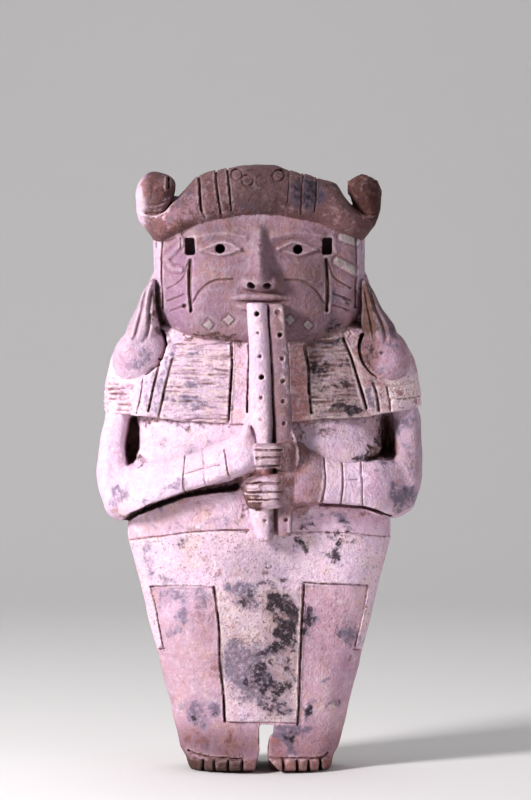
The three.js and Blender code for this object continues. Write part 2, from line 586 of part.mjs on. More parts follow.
// Keeps the outer shell alone, so clay fills any closed pocket between the joined shapes.
function outerShell(points, tris) {
  const parent = Uint32Array.from({ length: points.length / 3 }, (_, i) => i);
  const root = (i) => {
    while (parent[i] !== i) { parent[i] = parent[parent[i]]; i = parent[i]; }
    return i;
  };
  for (let i = 0; i < tris.length; i += 3) {
    parent[root(tris[i + 1])] = root(tris[i]);
    parent[root(tris[i + 2])] = root(tris[i]);
  }
  const volumes = new Map();
  const [a, b, c] = [new THREE.Vector3(), new THREE.Vector3(), new THREE.Vector3()];
  for (let i = 0; i < tris.length; i += 3) {
    const key = root(tris[i]);
    a.fromArray(points, tris[i] * 3);
    b.fromArray(points, tris[i + 1] * 3);
    c.fromArray(points, tris[i + 2] * 3);
    volumes.set(key, (volumes.get(key) ?? 0) + a.dot(b.cross(c)) / 6);
  }
  const best = [...volumes].sort((p, q) => q[1] - p[1])[0][0];
  const kept = [];
  for (let i = 0; i < tris.length; i += 3) {
    if (root(tris[i]) === best) kept.push(tris[i], tris[i + 1], tris[i + 2]);
  }
  return kept;
}

function toMesh(solid, name, material) {
  const mesh = solid.getMesh();
  const kept = outerShell(mesh.vertProperties, mesh.triVerts);
  const index = new Map();
  const points = [];
  const tris = kept.map((v) => {
    if (!index.has(v)) {
      index.set(v, points.length / 3);
      points.push(...mesh.vertProperties.subarray(v * 3, v * 3 + 3));
    }
    return index.get(v);
  });
  const g = new THREE.BufferGeometry();
  g.setAttribute('position', new THREE.BufferAttribute(Float32Array.from(points), 3));
  g.setIndex(new THREE.BufferAttribute(Uint32Array.from(tris), 1));
  g.computeBoundingBox();
  const { min, max } = g.boundingBox;
  g.translate(-(min.x + max.x) / 2, -(min.y + max.y) / 2, -min.z);
  g.computeVertexNormals();
  const out = new THREE.Mesh(g, material);
  out.name = name;
  return out;
}

const clay = new THREE.MeshStandardMaterial({ color: 0xc09484, roughness: 0.9, metalness: 0 });

const group = new THREE.Group();
group.add(toMesh(figure, 'effigy_figure', clay));

export default group;
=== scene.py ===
# A fired-clay effigy of a standing flute player: the modelled skin, its paint, stains and wear.
# Sizes are in millimetres until the mesh is made. +Z up, the front faces -Y.
import bpy
import math
import numpy as np
import openvdb as vdb
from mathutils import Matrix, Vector


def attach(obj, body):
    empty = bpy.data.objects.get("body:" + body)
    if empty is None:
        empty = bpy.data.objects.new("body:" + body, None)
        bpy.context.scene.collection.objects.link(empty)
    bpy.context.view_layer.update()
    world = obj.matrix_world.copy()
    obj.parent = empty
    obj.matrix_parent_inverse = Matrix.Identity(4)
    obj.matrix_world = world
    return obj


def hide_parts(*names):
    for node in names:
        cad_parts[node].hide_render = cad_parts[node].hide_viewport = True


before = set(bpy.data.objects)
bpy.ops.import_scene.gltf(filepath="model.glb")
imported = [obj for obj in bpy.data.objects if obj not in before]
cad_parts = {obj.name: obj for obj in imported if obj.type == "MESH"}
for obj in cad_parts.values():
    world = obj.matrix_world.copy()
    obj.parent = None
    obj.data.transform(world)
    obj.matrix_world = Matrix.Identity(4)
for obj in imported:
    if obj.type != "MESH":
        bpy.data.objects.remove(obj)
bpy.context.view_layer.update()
NODE = "effigy_figure"

STEP = 0.45    # spacing of the clay field
TRIS = 196000                         # triangles kept in the finished skin
F = np.float32

# The tables below are written about a plane inside the body; the whole figure is then
# moved so that its box is centred over the origin, as the solid is.
TABLE_FRONT, TABLE_BACK = -41.57, 25.10
TABLE_LEFT, TABLE_RIGHT = -72.79, 73.70

# ------------------------------------------------------------------ tables
# height, half-width, middle in Y, half-depth
TRUNK = [
    (-4.0, 29.4, -1.4, 24.0),
    (0.0, 30.8, -1.6, 25.0),
    (3.0, 32.4, -2.2, 26.4),
    (6.0, 34.0, -2.0, 26.0),
    (10.0, 36.2, -1.0, 24.4),
    (14.0, 37.2, 0.2, 22.2),
    (24.0, 39.5, 0.6, 20.9),
    (42.0, 44.1, 0.4, 21.4),
    (60.0, 48.3, 0.2, 22.4),
    (78.0, 52.5, 0.0, 23.4),
    (96.0, 57.3, -0.4, 24.4),
    (108.0, 59.6, -0.6, 25.0),
    (116.0, 59.0, -0.8, 25.4),
    (126.0, 57.0, -1.2, 25.8),
    (140.0, 56.2, -2.0, 26.6),
    (150.0, 55.6, -1.8, 26.2),
    (158.0, 55.8, -1.0, 24.8),
    (168.0, 56.4, 0.0, 23.0),
    (184.0, 54.0, 0.2, 22.0),
    (196.0, 42.0, 0.2, 20.4),
    (206.0, 36.0, 0.0, 19.0),
]
CAPE = [
    (152.0, 71.6, -1.5, 26.3),
    (157.0, 71.9, -1.5, 26.5),
    (160.0, 72.0, -1.5, 26.6),
    (168.0, 72.0, -1.2, 26.2),
    (178.0, 70.7, -0.6, 25.2),
    (187.0, 68.2, 0.0, 23.8),
    (194.0, 63.4, 0.4, 21.8),
    (199.0, 54.6, 0.4, 19.4),
    (203.0, 40.0, 0.4, 16.0),
]


def head_half(height):
    """A plain head: five eyes and a side band each side wide, widest at the eye
    line, closing evenly below it to the chin and above it under the turban."""
    t = 235.0 - height
    fall = t / 44.0 if t > 0 else -t / 29.0
    return 48.0 * (1 - fall ** 3.5) ** (1 / 3.5)


HEAD = [(h, head_half(h), y_, deep_) for h, y_, deep_ in (
    (192.4, -3.0, 15.0), (195.0, -3.4, 21.0), (198.0, -3.5, 23.2), (203.0, -3.6, 24.2), (208.0, -3.6, 24.5), (214.0, -3.6, 24.6),
    (221.5, -3.6, 24.5), (226.0, -3.6, 24.4), (234.0, -3.8, 24.0), (244.0, -4.2, 22.6), (254.0, -5.0, 20.0))]
# X, middle in Y, half-depth, middle in Z, half-height
TURBAN = [
    (-55.6, -2.6, 8.0, 254.6, 3.6),
    (-52.0, -2.4, 15.6, 251.4, 5.8),
    (-45.0, -3.2, 21.2, 246.5, 8.4),
    (-38.0, -3.0, 24.4, 248.8, 9.0),
    (-31.0, -2.8, 25.8, 253.5, 11.8),
    (-28.5, -2.8, 26.0, 255.1, 12.8),
    (-22.0, -2.8, 26.6, 257.0, 13.1),
    (-15.0, -2.8, 27.0, 258.4, 13.0),
    (-7.0, -2.8, 27.3, 259.9, 13.2),
    (0.0, -2.8, 27.4, 260.5, 13.3),
    (7.0, -2.8, 27.3, 260.3, 13.3),
    (12.5, -2.8, 27.2, 258.8, 12.7),
    (18.0, -2.8, 26.9, 257.5, 12.3),
    (24.0, -2.8, 26.4, 256.2, 12.2),
    (28.5, -2.8, 26.1, 255.0, 12.2),
    (31.6, -2.8, 25.8, 254.0, 12.4),
    (34.7, -2.9, 25.2, 252.8, 12.4),
    (36.6, -3.0, 24.6, 251.4, 11.4),
    (39.0, -3.0, 24.0, 249.4, 9.4),
    (42.0, -3.1, 22.6, 247.3, 8.0),
    (46.0, -3.0, 20.4, 246.2, 7.0),
    (50.6, -2.4, 15.6, 248.8, 5.0),
    (53.6, -2.6, 8.0, 253.0, 2.8),
]
# height, middle in X, half-width, middle in Y, half-depth
UPPER_ARM_L = [
    (112.4, 59.8, 4.0, -3.0, 6.0),
    (114.4, 60.2, 6.8, -3.4, 10.4),
    (119.0, 60.6, 9.2, -3.8, 13.2),
    (127.0, 62.4, 10.1, -4.2, 14.6),
    (137.0, 64.9, 8.2, -3.4, 14.8),
    (148.0, 65.4, 6.6, -2.4, 14.8),
    (158.0, 63.9, 6.2, -2.0, 14.8),
    (164.0, 63.2, 6.2, -1.6, 14.2),
    (172.0, 60.0, 8.0, -1.0, 12.0),
]
UPPER_ARM_R = [
    (114.4, 59.0, 4.0, -3.0, 6.0),
    (116.6, 59.6, 6.8, -3.4, 10.4),
    (120.0, 60.6, 9.4, -3.8, 13.2),
    (127.0, 62.6, 10.4, -4.2, 14.6),
    (137.0, 66.0, 8.0, -3.4, 14.8),
    (148.0, 67.4, 6.2, -2.4, 14.8),
    (158.0, 67.0, 6.2, -2.0, 14.8),
    (164.0, 65.6, 6.0, -1.6, 13.6),
    (172.0, 60.0, 8.0, -1.0, 12.0),
]
# distance out, middle in Y, half-depth, middle in Z, half-height
FOREARM_A = [
    (67.0, -6.0, 9.0, 127.5, 9.0),
    (62.0, -10.0, 12.0, 126.6, 11.6),
    (54.0, -16.0, 12.2, 127.6, 12.2),
    (46.0, -20.4, 11.4, 130.4, 10.8),
    (36.0, -24.0, 10.4, 133.8, 9.0),
    (28.0, -26.6, 9.8, 136.6, 8.3),
    (18.0, -30.0, 8.8, 140.4, 8.6),
    (8.0, -32.2, 8.0, 144.0, 8.4),
    (3.0, -33.2, 6.0, 144.6, 6.6),
]
FOREARM_B = [
    (67.0, -6.0, 9.0, 128.5, 9.4),
    (62.0, -10.0, 12.0, 128.0, 12.0),
    (54.0, -16.0, 12.2, 128.6, 12.6),
    (46.0, -19.8, 11.2, 130.0, 11.2),
    (38.0, -22.4, 10.6, 130.6, 10.0),
    (30.0, -25.0, 10.2, 131.6, 10.4),
    (22.0, -28.0, 9.4, 133.4, 12.0),
    (15.0, -30.0, 8.0, 133.6, 12.0),
]
FIST_A = [
    (-3.6, -34.2, 2.0, 143.2, 3.6),
    (-2.2, -35.2, 3.6, 143.1, 4.8),
    (1.0, -36.2, 4.9, 143.1, 5.3),
    (6.0, -36.4, 5.2, 143.0, 5.5),
    (9.5, -36.2, 4.9, 142.3, 6.3),
    (13.0, -35.8, 4.3, 142.4, 7.2),
    (16.6, -35.0, 2.6, 143.2, 6.2),
]
FIST_B = [
    (-7.4, -33.2, 1.8, 129.2, 1.6),
    (-6.4, -34.4, 3.2, 128.3, 3.3),
    (-4.5, -35.6, 4.4, 126.7, 5.8),
    (-2.0, -36.3, 4.9, 126.4, 6.9),
    (2.7, -36.7, 5.0, 126.9, 7.3),
    (7.2, -36.4, 4.9, 127.4, 7.3),
    (11.0, -35.6, 4.5, 127.7, 7.2),
    (15.0, -34.4, 4.2, 128.0, 7.8),
    (18.0, -33.0, 3.4, 128.6, 8.2),
]
# height, middle in X, half-width, middle in Y, half-depth
FLUTE_A = [
    (104.8, 2.7, 3.3, -31.0, 3.7),
    (111.0, 1.9, 4.5, -32.4, 4.5),
    (118.4, 1.0, 5.2, -33.2, 4.9),
    (130.0, 1.2, 5.2, -33.4, 4.9),
    (146.0, 2.2, 3.2, -33.8, 4.4),
    (151.0, 2.0, 3.8, -33.8, 4.7),
    (154.0, 1.7, 4.3, -33.7, 4.9),
    (159.0, 1.2, 5.0, -33.6, 5.0),
    (168.0, 0.7, 5.2, -33.4, 5.1),
    (190.0, 0.0, 4.75, -33.0, 5.0),
    (211.4, -1.1, 4.5, -32.4, 4.7),
]
FLUTE_B = [
    (107.0, 11.2, 3.1, -30.4, 3.2),
    (116.0, 11.1, 3.6, -31.2, 4.0),
    (140.0, 11.2, 4.0, -32.2, 4.2),
    (152.0, 11.0, 4.0, -32.2, 4.3),
    (165.0, 10.5, 4.05, -32.0, 4.4),
    (178.0, 9.7, 4.0, -31.8, 4.4),
    (196.6, 8.5, 3.8, -31.6, 4.3),
    (211.0, 7.7, 3.4, -31.2, 4.2),
]

HEIGHT, HEAD_HEIGHT, FACE_HALF = 273.8, 76.8, 43.0
EYE_Z = HEIGHT - HEAD_HEIGHT / 2          # eyes half-way up the head
CHIN_Z = HEIGHT - HEAD_HEIGHT
BROW_Z = EYE_Z + 5.0
NOSE_Z = (BROW_Z + CHIN_Z) / 2            # base of the nose half-way from brow to chin
MOUTH_Z = NOSE_Z - (NOSE_Z - CHIN_Z) / 3
EYE_W = 2 * FACE_HALF / 5                 # five eyes across the face
EYE_X = EYE_W
FACE_Y = -28.0

# parts, for the paint
TRUNK_ID, CAPE_ID, HEAD_ID, TURBAN_ID, ROLL_ID, PENDANT_ID, ARM_ID, FLUTE_ID, HAND_ID = range(1, 10)

# ------------------------------------------------------------------ noise

_tables = {}


def _table(seed):
    if seed not in _tables:
        _tables[seed] = (np.random.RandomState(seed).rand(48, 48, 48) * 2 - 1).astype(F)
    return _tables[seed]


def noise(x, y, z, size, seed):
    """Smooth noise from -1 to 1 at any points, with features of about that size."""
    t = _table(seed)
    out = np.zeros(np.broadcast(x, y, z).shape, F)
    cells, shares = [], []
    for c in (x, y, z):
        q = np.asarray(c, F) / size + 17.31 * (seed % 7 + 1)
        i = np.floor(q)
        f = (q - i).astype(F)
        cells.append(i.astype(np.int32))
        shares.append(f * f * f * (f * (f * 6 - 15) + 10))
    for a in (0, 1):
        wa = shares[0] if a else 1 - shares[0]
        ia = (cells[0] + a) % 48
        for b in (0, 1):
            wb = shares[1] if b else 1 - shares[1]
            ib = (cells[1] + b) % 48
            for c in (0, 1):
                wc = shares[2] if c else 1 - shares[2]
                ic = (cells[2] + c) % 48
                out += (wa * wb * wc * t[ia, ib, ic]).astype(F)
    return out


def fractal(x, y, z, size, seed, octaves=4, gain=0.5):
    out, amp, total = 0.0, 1.0, 0.0
    for k in range(octaves):
        out = out + amp * noise(x, y, z, size / 2 ** k, seed + k)
        total += amp
        amp *= gain
    return out / total


def smoothstep(a, b, x):
    t = np.clip((x - a) / (b - a), 0, 1)
    return t * t * (3 - 2 * t)


# ------------------------------------------------------------------ the clay field

LO = np.array((-77.0, -48.5, -2.5))
HI = np.array((77.0, 30.0, 277.0))
COUNT = np.ceil((HI - LO) / STEP).astype(int) + 1
AX = [(LO[i] + STEP * np.arange(COUNT[i])).astype(F) for i in range(3)]
D = np.full(COUNT, 12.0, F)              # distance to the skin, negative inside
PART = np.zeros(COUNT, np.uint8)


def window(x0, x1, y0, y1, z0, z1):
    s = []
    for i, (a, b) in enumerate(((x0, x1), (y0, y1), (z0, z1))):
        s.append(slice(max(int((a - LO[i]) / STEP), 0), min(int((b - LO[i]) / STEP) + 2, COUNT[i])))
    s = tuple(s)
    return s, AX[0][s[0]][:, None, None], AX[1][s[1]][None, :, None], AX[2][s[2]][None, None, :]


def add(s, d, part, k=1.2):
    """Joins a shape to the field, with a fillet of about k."""
    a = D[s]
    PART[s][d < a] = part
    h = np.clip(0.5 + 0.5 * (a - d) / k, 0, 1)
    D[s] = a + (d - a) * h - k * h * (1 - h)


def carve(s, d, k=0.6):
    """Cuts a shape out of the field."""
    a = D[s]
    h = np.clip(0.5 + 0.5 * (a + d) / k, 0, 1)
    D[s] = -d + (a + d) * h + k * h * (1 - h)


def smax(a, b, k):
    h = np.clip(0.5 + 0.5 * (a - b) / k, 0, 1)
    return b + (a - b) * h + k * h * (1 - h)


def smin(a, b, k):
    return -smax(-a, -b, k)


def rows(table, s):
    """Smooth, never overshooting, interpolation of a table over its first column."""
    t = np.array(table, float)
    s = np.asarray(s, float)
    x = t[:, 0]
    step = np.diff(x)
    slope = np.diff(t[:, 1:], axis=0) / step[:, None]
    m = np.zeros_like(t[:, 1:])
    m[0], m[-1] = slope[0], slope[-1]
    prod = slope[:-1] * slope[1:]
    with np.errstate(divide="ignore", invalid="ignore"):
        m[1:-1] = np.where(prod > 0, 2 * prod / (slope[:-1] + slope[1:]), 0)
    k = np.clip(np.searchsorted(x, s) - 1, 0, len(x) - 2)
    u = np.clip((s - x[k]) / step[k], 0, 1)
    out = []
    for c in range(t.shape[1] - 1):
        p, q = t[k, c + 1], t[k + 1, c + 1]
        a, b = m[k, c] * step[k], m[k + 1, c] * step[k]
        out.append(((2 * u ** 3 - 3 * u ** 2 + 1) * p + (u ** 3 - 2 * u ** 2 + u) * a
                    + (3 * u ** 2 - 2 * u ** 3) * q + (u ** 3 - u ** 2) * b).astype(F))
    return out


def section(u, v, a, b, n):
    """Distance to the curve |u/a|^n + |v/b|^n = 1, good near the curve."""
    p, q = np.abs(u) / a + F(1e-4), np.abs(v) / b + F(1e-4)
    pn, qn = p ** F(n - 1), q ** F(n - 1)
    r = (pn * p + qn * q) ** F(1 / n)
    g = r ** F(1 - n)
    return (r - 1) / np.sqrt((pn * g / a) ** 2 + (qn * g / b) ** 2)


def stack(table, X, Y, Z, power=2.6):
    z = Z[0, 0]
    a, y0, b = [c[None, None, :] for c in rows(table, z)]
    d = section(X, Y - y0, a, b, power)
    return d


def limb_z(table, X, Y, Z, power=2.2, ends=1.5, mirror=1):
    x0, a, y0, b = [c[None, None, :] for c in rows(table, Z[0, 0])]
    d = section(X - mirror * x0, Y - y0, np.maximum(a, 0.5), np.maximum(b, 0.5), power)
    return smax(d, np.maximum(table[0][0] - Z, Z - table[-1][0]), ends)


def limb_x(table, X, Y, Z, power=2.2, ends=2.0, mirror=1, lean=0.0):
    t = sorted(table)
    y0, a, z0, b = [c[:, None, None] for c in rows(t, mirror * X[:, 0, 0])]
    d = section(Y - y0 + lean * (Z - z0), Z - z0, np.maximum(a, 0.5), np.maximum(b, 0.5), power)
    return smax(d, np.maximum(t[0][0] - mirror * X, mirror * X - t[-1][0]), ends)


def egg(X, Y, Z, c, r):
    px, py, pz = (X - c[0]) / r[0], (Y - c[1]) / r[1], (Z - c[2]) / r[2]
    k0 = np.sqrt(px * px + py * py + pz * pz) + F(1e-4)
    k1 = np.sqrt((px / r[0]) ** 2 + (py / r[1]) ** 2 + (pz / r[2]) ** 2) + F(1e-5)
    return k0 * (k0 - 1) / k1


def turned_egg(X, Y, Z, c, r, angle):
    """An egg turned about Y."""
    ca, sa = F(math.cos(math.radians(angle))), F(math.sin(math.radians(angle)))
    u, w = (X - c[0]) * ca + (Z - c[2]) * sa, -(X - c[0]) * sa + (Z - c[2]) * ca
    return egg(u, Y - c[1], w, (0, 0, 0), r)


def rbox(X, Y, Z, c, h, r):
    qx, qy, qz = np.abs(X - c[0]) - h[0] + r, np.abs(Y - c[1]) - h[1] + r, np.abs(Z - c[2]) - h[2] + r
    out = np.sqrt(np.maximum(qx, 0) ** 2 + np.maximum(qy, 0) ** 2 + np.maximum(qz, 0) ** 2)
    return (out + np.minimum(np.maximum(np.maximum(qx, qy), qz), 0) - r).astype(F)


def chain(X, Y, Z, points, radii, flat=1.0, k=0.0):
    """A bar through points, with a radius at each."""
    d = None
    for (p, q), (a, b) in zip(zip(points, points[1:]), zip(radii, radii[1:])):
        e = segment(X, Y, Z, p, q, a, b, flat)
        d = e if d is None else np.minimum(d, e)
    return d


def segment(X, Y, Z, p, q, r0, r1=None, flat=1.0):
    r1 = r0 if r1 is None else r1
    p, q = np.array(p, F), np.array(q, F)
    v = q - p
    t = np.clip(((X - p[0]) * v[0] + (Y - p[1]) * v[1] + (Z - p[2]) * v[2]) / F(v @ v), 0, 1)
    return np.sqrt((X - p[0] - t * v[0]) ** 2 + ((Y - p[1] - t * v[1]) / flat) ** 2
                   + (Z - p[2] - t * v[2]) ** 2) - (r0 + (r1 - r0) * t)


# ------------------------------------------------------------------ lines drawn on the front

def G(u, v):
    """The drawing sheet: squares of 0.45 mm counted right and down, the soles on line 772."""
    return ((u - 259) * 0.45, (772 - v) * 0.45)


def GG(*uv):
    return [G(u, v) for u, v in uv]


GX, GZ = np.meshgrid(AX[0], AX[2], indexing="ij")
ZERO = np.zeros_like(GX)
# Lines are drawn by hand, so the drawing plane wanders a little.
WX = GX + 0.30 * noise(GX, ZERO, GZ, 13, 3) + 0.13 * noise(GX, ZERO, GZ, 3.7, 4)
WZ = GZ + 0.30 * noise(GX, ZERO + 50, GZ, 13, 5) + 0.13 * noise(GX, ZERO + 50, GZ, 3.7, 6)
PRESS = 1.0 + 0.22 * noise(GX, ZERO + 90, GZ, 6.5, 7)      # how hard the tool pressed
ROUGH = noise(GX, ZERO + 20, GZ, 1.3, 8)


def curve(points, n=7):
    """Points along a smooth line through the given ones."""
    p = [np.array(q, float) for q in points]
    p = [2 * p[0] - p[1]] + p + [2 * p[-1] - p[-2]]
    out = []
    for i in range(1, len(p) - 2):
        for j in range(n):
            t = j / n
            out.append(0.5 * (2 * p[i] + (p[i + 1] - p[i - 1]) * t
                              + (2 * p[i - 1] - 5 * p[i] + 4 * p[i + 1] - p[i + 2]) * t * t
                              + (3 * p[i] - p[i - 1] - 3 * p[i + 1] + p[i + 2]) * t ** 3))
    out.append(p[-2])
    return out


def line_distance(points, x=None, z=None):
    x, z = (WX if x is None else x), (WZ if z is None else z)
    best = np.full(x.shape, 99.0, F)
    for p, q in zip(points, points[1:]):
        v = np.array(q, float) - np.array(p, float)
        if v @ v == 0:
            continue
        t = np.clip(((x - p[0]) * v[0] + (z - p[1]) * v[1]) / (v @ v), 0, 1)
        best = np.minimum(best, np.hypot(x - p[0] - t * v[0], z - p[1] - t * v[1]))
    return best.astype(F)


def polygon(points, x=None, z=None):
    """Signed distance to a polygon in X and Z, negative inside."""
    x, z = (WX if x is None else x), (WZ if z is None else z)
    inside = np.zeros(x.shape, bool)
    loop = list(points) + [points[0]]
    for (x0, z0), (x1, z1) in zip(loop, loop[1:]):
        if z0 == z1:
            continue
        hit = (z0 > z) != (z1 > z)
        inside ^= hit & (x < (x1 - x0) * (z - z0) / (z1 - z0) + x0)
    d = line_distance(loop, x, z)
    return np.where(inside, -d, d)


class Drawing:
    """Depths pressed into, or raised from, the front of one part."""

    def __init__(self):
        self.cut = np.zeros_like(GX)
        self.lip = np.zeros_like(GX)
        self.lift = np.zeros_like(GX)

    def line(self, points, width=1.3, depth=1.0, lip=0.12, smooth=True, dry=0.0):
        pts = curve(points) if smooth and len(points) > 2 else points
        d = line_distance(pts)
        w = width / 2
        body = 1 - (np.clip(d / w, 0, 1)) ** 2.2
        press = PRESS + (dry * ROUGH if dry else 0)
        self.cut = np.maximum(self.cut, depth * body * np.clip(press, 0.1, 1.5))
        if lip:
            self.lip = np.maximum(self.lip, lip * np.exp(-((d - 1.25 * w) / (0.45 * w)) ** 2))
        return self

    def pit(self, x, z, r=0.9, depth=1.6, lip=0.10):
        d = np.hypot(WX - x, WZ - z)
        self.cut = np.maximum(self.cut, depth * smoothstep(r + 0.28, r - 0.35, d))
        self.lip = np.maximum(self.lip, lip * np.exp(-((d - r - 0.45) / 0.35) ** 2))
        return self

    def ring(self, x, z, r, width=0.9, depth=0.6):
        d = np.abs(np.hypot(WX - x, WZ - z) - r)
        self.cut = np.maximum(self.cut, depth * (1 - np.clip(d / (width / 2), 0, 1) ** 2) * PRESS)
        self.lip = np.maximum(self.lip, 0.12 * np.exp(-((d - 0.75 * width) / 0.35) ** 2))
        return self

    def field(self, d, amount, soft=0.6):
        """Raises (positive) or sinks the inside of a distance field."""
        self.lift = self.lift + amount * smoothstep(soft / 2, -soft / 2, d)
        return self

    def depth(self):
        return (self.cut - self.lip * (self.cut < 0.08) - self.lift).astype(F)

    def apply(self, d, s, Y, near=-4.0, far=2.0):
        """Presses the drawing into a part's distance field, fading out round the sides."""
        m = self.depth()[s[0], s[2]][:, None, :]
        return d + m * smoothstep(far, near, Y)


# ---- trunk: belt line, apron, leg panels, toes
body = Drawing()
LEG_AREA = [(-49.0, 83.6), (-19.7, 83.6), (-17.5, 50.4), (-14.8, 22.8), (17.6, 22.6), (18.2, 50.4),
            (18.9, 86.0), (49.0, 84.4), (43.6, 56.0), (47.0, 54.4), (60, 54.0), (60, -6), (-60, -6),
            (-60, 54.4), (-46.0, 54.8), (-43.8, 56.8)]
leg_field = polygon(LEG_AREA)
BELT_L = GG((128, 541.5), (132.8, 540), (158.5, 535.6), (192, 530.6), (220, 529.2), (248, 528.9))
BELT_R = GG((292, 531.6), (317, 530.6), (344.9, 532.3), (387.3, 536.4), (392, 537))
skirt_top = polygon(BELT_L + BELT_R + GG((420, 820), (100, 820)))
body.field(skirt_top, 0.55, soft=0.7)
body.field(leg_field, -1.0, soft=0.7)
body.line(BELT_L, 1.0, 1.05, 0.3, dry=0.25)
body.line(BELT_R, 0.9, 0.7, 0.25, dry=0.5)
body.line(GG((214.6, 586), (216.9, 603), (219.9, 636.6), (222.1, 675.7), (223.8, 700), (225.2, 721)), 1.5, 2.2, 0.3, dry=0.25)
body.line(GG((302.6, 584.5), (301.3, 619.9), (300.2, 647.8), (298.4, 700), (298.2, 724)), 1.15, 1.7, 0.45, dry=0.35)
body.line(GG((149.6, 586.6), (169.6, 585.3), (197.5, 585.0), (214.6, 586.2)), 1.0, 0.8, 0.4, dry=0.3)
body.line(GG((303.6, 581.4), (339.3, 584.0), (367.6, 586.0)), 1.2, 0.7, 0.25, dry=0.7)
body.line(GG((150.1, 587), (154.6, 609.8), (159.6, 631), (162.6, 647.5)), 0.9, 0.5, 0.25, dry=0.3)
body.line(GG((367.2, 587), (362.7, 612), (359.4, 629), (354.9, 648)), 0.9, 0.5, 0.25, dry=0.3)
body.line(GG((156.5, 651), (164.5, 649)), 0.9, 0.9, 0.35, smooth=False)
body.line(GG((353, 650), (361, 652)), 0.9, 0.8, 0.35, smooth=False)
body.line(GG((351, 656), (349, 661)), 0.8, 0.8, 0.1, smooth=False)
body.line(GG((224, 721.6), (242, 722.6), (262, 723), (280, 722), (299, 722.4)), 0.9, 0.45, 0.2, dry=0.5)
body.ring(*G(268.4, 565.2), 1.25, 0.8, 0.55)
body.pit(*G(176, 744), 0.8, 0.5)
# Feet: a ledge of toes under a cut line, with wedges cut between the toes.
TOES_A = [-33.4, -25.4, -20.3, -14.0, -7.7, -0.6]
TOES_B = [3.8, 11.4, 17.5, 22.3, 27.5, 33.6]
body.line(GG((186.5, 751), (196, 753.5), (206.8, 755), (228, 756.4), (241.4, 757.2)), 1.0, 1.4, 0.45, dry=0.5)
body.line(GG((241.6, 757.5), (246.4, 759.6)), 0.8, 0.7, 0.1, smooth=False)
body.line(GG((268.5, 756.2), (284, 757), (300, 756.8), (321, 757), (327.6, 753.4)), 1.0, 1.4, 0.45, dry=0.5)
toe_lift = np.zeros_like(GX)
for edges in (TOES_A, TOES_B):
    for a, b in zip(edges, edges[1:]):
        u = (WX - (a + b) / 2) / ((b - a) / 2)
        toe_lift = np.maximum(toe_lift, 1.9 * np.clip(1 - np.abs(u) ** 2.6, 0, 1) ** 0.5 * smoothstep(7.4, 5.6, WZ))
body.lift += toe_lift - 0.5 * smoothstep(7.8, 6.4, WZ)
for x in TOES_A[1:-1] + TOES_B[1:-1]:
    gap = polygon([(x - 0.1, 6.0), (x + 0.1, 6.0), (x + 0.65, -1.5), (x - 0.8, -1.5)])
    body.cut = np.maximum(body.cut, 3.0 * smoothstep(0.45, -0.1, gap))
    body.lift += 0.35 * np.exp(-((WX - x - 1.0) / 0.45) ** 2) * smoothstep(6.6, 5.8, WZ)
# Pores in the slip.
rng = np.random.RandomState(77)
for k in range(150):
    x, z = rng.uniform(-52, 52), rng.uniform(22, 116)
    if k % 2:
        x, z = rng.normal(-8, 20), rng.uniform(84, 108)
    r = rng.uniform(0.22, 0.5)
    body.pit(x, z, r, rng.uniform(0.25, 0.6), 0.0)

s, X, Y, Z = window(-64, 64, -33, 30, -6, 208)
d = stack(TRUNK, X, Y, Z, 2.7)
d = body.apply(d, s, Y, near=-9.0, far=-3.0)
inner_toe = np.clip(6.6 - 0.94 * (X - 3.9), 0, 6.6) * (X > 2.5) * smoothstep(-13, -20, Y)
sole = 0.24 * np.maximum(-Y - 19.5, 0) + (0.05 * np.maximum(-X - 13, 0) + 0.03 * np.maximum(X - 16, 0)) * smoothstep(-8, -20, Y)
d = smax(d, np.maximum(np.maximum(sole, inner_toe) - Z, Z - 206).astype(F), 1.4)
add(s, d, TRUNK_ID, 0.5)

# The chest swells out to meet the forearms; behind each arm the clay is one with the back.
for side in (-1, 1):
    s, X, Y, Z = window(*sorted((side * 2, side * 62)), -32, 6, 126, 164)
    d = egg(X, Y, Z, (side * 29, -14, 142.5), (28.0, 14.4, 12.0))
    add(s, smax(d, -28.0 - Y, 2.0), TRUNK_ID, 2.2)
    s, X, Y, Z = window(*sorted((side * 44, side * 70)), -6, 20, 106, 176)
    add(s, rbox(X, Y, Z, (side * 55.5, 6.5, 146), (8.5, 6.0, 27), 4.0), TRUNK_ID, 1.5)

# ---- cape: striped panels, long cut lines, ribbed sleeves
cape = Drawing()
LEFT_PANEL = [(-38.4, 193.5), (-12.4, 193.5), (-13.7, 156.5), (-45.0, 157.5)]
RIGHT_PANEL = [(21.0, 195.5), (38.4, 196.0), (47.6, 157.5), (24.0, 156.5)]
left_panel, right_panel = polygon(LEFT_PANEL), polygon(RIGHT_PANEL)
left_sleeve = polygon([(-76, 176), (-56.0, 175.5), (-57.4, 158), (-76, 158)])
right_sleeve = polygon([(55.0, 180), (76, 182), (76, 158), (57.2, 158)])


def ribs(area, pitch, top, slope, depth, phase=0.0, wander=0.5, sharp=1.3):
    z = WZ + slope * WX + wander * noise(GX, ZERO + 33, GZ, 9, 12)
    wave = 0.5 - 0.5 * np.cos((z - top + phase) / pitch * 2 * np.pi)
    groove = (1 - wave) ** sharp
    return depth * groove * smoothstep(0.2, -0.8, area) * np.clip(0.9 + 0.6 * noise(GX, ZERO + 60, GZ, 5, 13), 0.2, 1.4)


